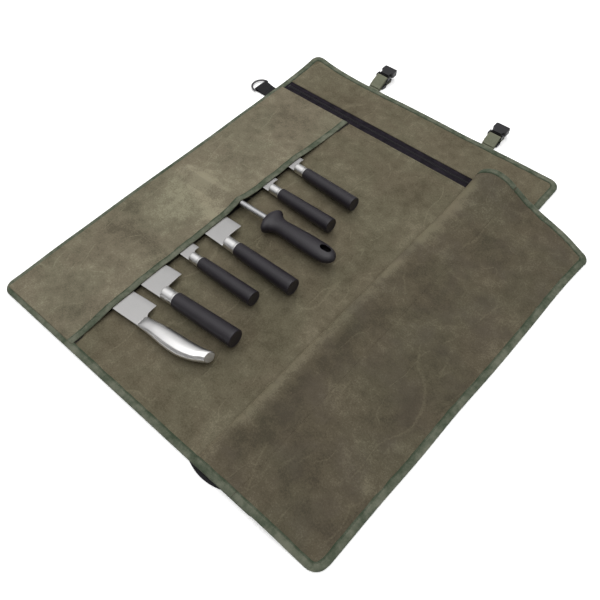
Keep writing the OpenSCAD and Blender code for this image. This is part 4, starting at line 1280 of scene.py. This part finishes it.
A, front = tool_frame("sharpening_steel")
grip = capped("sharpening_steel_grip", lofted([
    [0, 0, 0, 9.4, 8.4, 1], [1.2, 0, 0, 12.5, 10.4, 0.97], [3.4, 0, 0, 18, 12.8, 0.92],
    [6.6, 0, 0, 23.2, 13.9, 0.86], [10, 0, 0, 25.4, 14.1, 0.84], [13, 0, 0, 25.2, 13.6, 0.86],
    [16.2, 0, 0, 23, 12.9, 0.92], [20, 0, 0, 19.3, 12.4, 0.98], [27, 0, 0, 15.8, 12.2, 1],
    [36, 0, 0, 14.6, 12.2, 1], [55, 0, 0, 15.6, 12.6, 1], [80, 0, 0, 16.8, 12.8, 1],
    [105, 0, 0, 17.4, 12.4, 1], [122, 0, 0, 17, 11.4, 1], [133, 0, 0, 14.8, 10, 1],
    [139.6, 0, 0, 11.4, 8, 1], [143.6, 0, 0, 7.2, 5.2, 1],
    [145.6, 0, 0, 3.2, 2.6, 1], [146, 0, 0, 1, 1, 1],
], 1.0, 80), A, front)
# The hanging hole is a long one with rounded rims, cut right through.
HOLE_X, HOLE_Y, HOLE_R = 126, 4, 4.8
a = np.linspace(0, 2 * np.pi, 48, endpoint=False)
oval = np.stack([HOLE_X + 3.5 * np.sign(np.cos(a)) + HOLE_R * np.cos(a), HOLE_Y + HOLE_R * np.sin(a)], -1)
flare = [(6, 1), (8.8, 1.03), (10.2, 1.14), (11.4, 1.36), (24, 1.9)]
levels = flare[::-1] + [(-z, k) for z, k in flare]
middle = np.array([HOLE_X, HOLE_Y])
R = np.array([np.insert((oval - middle) * k + middle, 2, z, axis=1) for z, k in levels])
cutter = capped("hole_cutter", R, A, front)
mod = grip.modifiers.new("hole", "BOOLEAN")
mod.operation, mod.solver, mod.object = "DIFFERENCE", "EXACT", cutter
cut = bpy.data.meshes.new_from_object(grip.evaluated_get(bpy.context.evaluated_depsgraph_get()))
grip.modifiers.clear()
grip.data = cut
bpy.data.objects.remove(cutter)
finish_piece(grip, HANDLE, "sharpening_steel", ["sharpening_steel_handle"])
grip.data.set_sharp_from_angle(angle=math.radians(50))

ROD_L, ROD_R = 197, 5.5
prof = [(-AXIS_R, AXIS_R), (-AXIS_R, ROD_R), (-2, ROD_R)]
prof += [(-x, ROD_R - 0.4 * (x / ROD_L) ** 3) for x in np.linspace(6, ROD_L - 6, 40)]
prof += [(-ROD_L + 3, 5.0), (-ROD_L + 1, 4.2), (-ROD_L, 2.8), (-ROD_L, AXIS_R)]
rod = lathe("steel_rod", prof, A, front, sides=96)
finish_piece(rod, ROD, "sharpening_steel", ["sharpening_steel_rod"])


# ---- CAD nodes that are shown as they are ----


def dress(node, material, bevel=0.0, angle=35):
    """Gives a CAD node its material, and rounds its edges."""
    ob = nodes[node]
    ob.data.materials.clear()
    ob.data.materials.append(material)
    for poly in ob.data.polygons:
        poly.material_index = 0
    if bevel:
        weld = ob.modifiers.new("weld", "WELD")
        weld.merge_threshold = 0.00001
        b = ob.modifiers.new("bevel", "BEVEL")
        b.width, b.segments, b.limit_method, b.angle_limit = bevel, 3, "ANGLE", math.radians(angle)
        b.harden_normals = False


for side in ("left", "right"):
    dress("buckle_socket_" + side, BUCKLE, 0.0007)
    dress("buckle_plug_" + side, BUCKLE, 0.0004)
    dress("d_ring_" + side, RING)
dress("zipper_slider", BLACK_METAL, 0.0002)
dress("zipper_pull", BLACK_METAL, 0.0002)


# ---- Floor, light and camera ----

WHITE = (1, 1, 1, 1)


def surround(name, points, faces, **values):
    """A plain object round the part, which also gives off white light of its own."""
    me = bpy.data.meshes.new(name)
    me.from_pydata(points, [], faces)
    me.materials.append(Paint(name, Emission_Color=WHITE, **values).m)
    ob = bpy.data.objects.new(name, me)
    bpy.context.scene.collection.objects.link(ob)
    return ob


FLOOR_HALF = 8
floor_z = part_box("long_strap_left")[0].z - 0.0001
corners = [(FLOOR_HALF * i, FLOOR_HALF * j, floor_z) for i, j in ((-1, -1), (1, -1), (1, 1), (-1, 1))]
floor = surround(
    "floor", corners, [(0, 1, 2, 3)],
    Base_Color=(0.97, 0.97, 0.97, 1), Emission_Strength=0.25, Roughness=0.9, Specular_IOR_Level=0.1,
)

# A white wall far round the floor, seen by the camera only.
WALL_R, WALL_TOP, SIDES = 7.6, 14.0, 64
rim = [(WALL_R * math.cos(a), WALL_R * math.sin(a)) for a in np.linspace(0, 2 * np.pi, SIDES, endpoint=False)]
backdrop = surround(
    "backdrop", [(x, y, h) for h in (floor_z, WALL_TOP) for x, y in rim],
    [(j, (j + 1) % SIDES, (j + 1) % SIDES + SIDES, j + SIDES) for j in range(SIDES)],
    Base_Color=WHITE, Emission_Strength=1.0,
)
for ray in ("diffuse", "glossy", "transmission", "shadow"):
    setattr(backdrop, "visible_" + ray, False)


def area(name, location, target, size, energy):
    """A square area light that looks at a target."""
    d = bpy.data.lights.new(name, "AREA")
    d.shape, d.size, d.size_y, d.energy, d.color = "RECTANGLE", size, size, energy, (1, 1, 1)
    o = bpy.data.objects.new(name, d)
    o.location = location
    o.rotation_euler = (Vector(target) - Vector(location)).to_track_quat("-Z", "Y").to_euler()
    bpy.context.scene.collection.objects.link(o)
    return o


key = area("key", (-1.3, 1.5, 1.9), (0, 0.05, 0), 1.5, 25)
key.visible_glossy = False
world = bpy.data.worlds.new("studio")
bpy.context.scene.world = world
world.use_nodes = True
tree = world.node_tree
tree.nodes["Background"].inputs["Color"].default_value = (1, 1, 1, 1)
sky = tree.nodes.new("ShaderNodeTexCoord").outputs["Generated"]
up = tree.nodes.new("ShaderNodeSeparateXYZ")
tree.links.new(sky, up.inputs[0])
total = None
# Dim near the horizon, mid-grey half way up, and a broad soft box overhead.
for z0, z1, v0, v1 in ((0.25, 0.62, 0.12, 0.74), (0.80, 0.93, 0.0, 1.35)):
    step = tree.nodes.new("ShaderNodeMapRange")
    step.interpolation_type = "SMOOTHSTEP"
    for i, v in ((1, z0), (2, z1), (3, v0), (4, v1)):
        step.inputs[i].default_value = v
    tree.links.new(up.outputs["Z"], step.inputs["Value"])
    if total is None:
        total = step.outputs[0]
    else:
        add = tree.nodes.new("ShaderNodeMath")
        tree.links.new(total, add.inputs[0])
        tree.links.new(step.outputs[0], add.inputs[1])
        total = add.outputs[0]
tree.links.new(total, tree.nodes["Background"].inputs["Strength"])

# The camera, from the sheet's four corners in the photo: where it is, in metres, and how it is turned.
EYE = (0.4803, -0.5215, 0.8169)
YAW, PITCH, ROLL = -0.737, 0.961, 0.021
cam_data = bpy.data.cameras.new("camera")
cam = bpy.data.objects.new("camera", cam_data)
bpy.context.scene.collection.objects.link(cam)
bpy.context.scene.camera = cam
ahead = np.array([math.sin(YAW) * math.cos(PITCH), math.cos(YAW) * math.cos(PITCH), -math.sin(PITCH)])
level = np.array([math.cos(YAW), -math.sin(YAW), 0])
below = np.cross(ahead, level)
right = level * math.cos(ROLL) + below * math.sin(ROLL)
down = -level * math.sin(ROLL) + below * math.cos(ROLL)
cam.matrix_world = Matrix([(right[i], -down[i], -ahead[i], EYE[i]) for i in range(3)] + [(0, 0, 0, 1)])
cam_data.sensor_width, cam_data.lens = 36, 38.07
cam_data.clip_start, cam_data.clip_end = 0.01, 50
bpy.context.scene.view_settings.view_transform = "Standard"

bpy.context.view_layer.update()
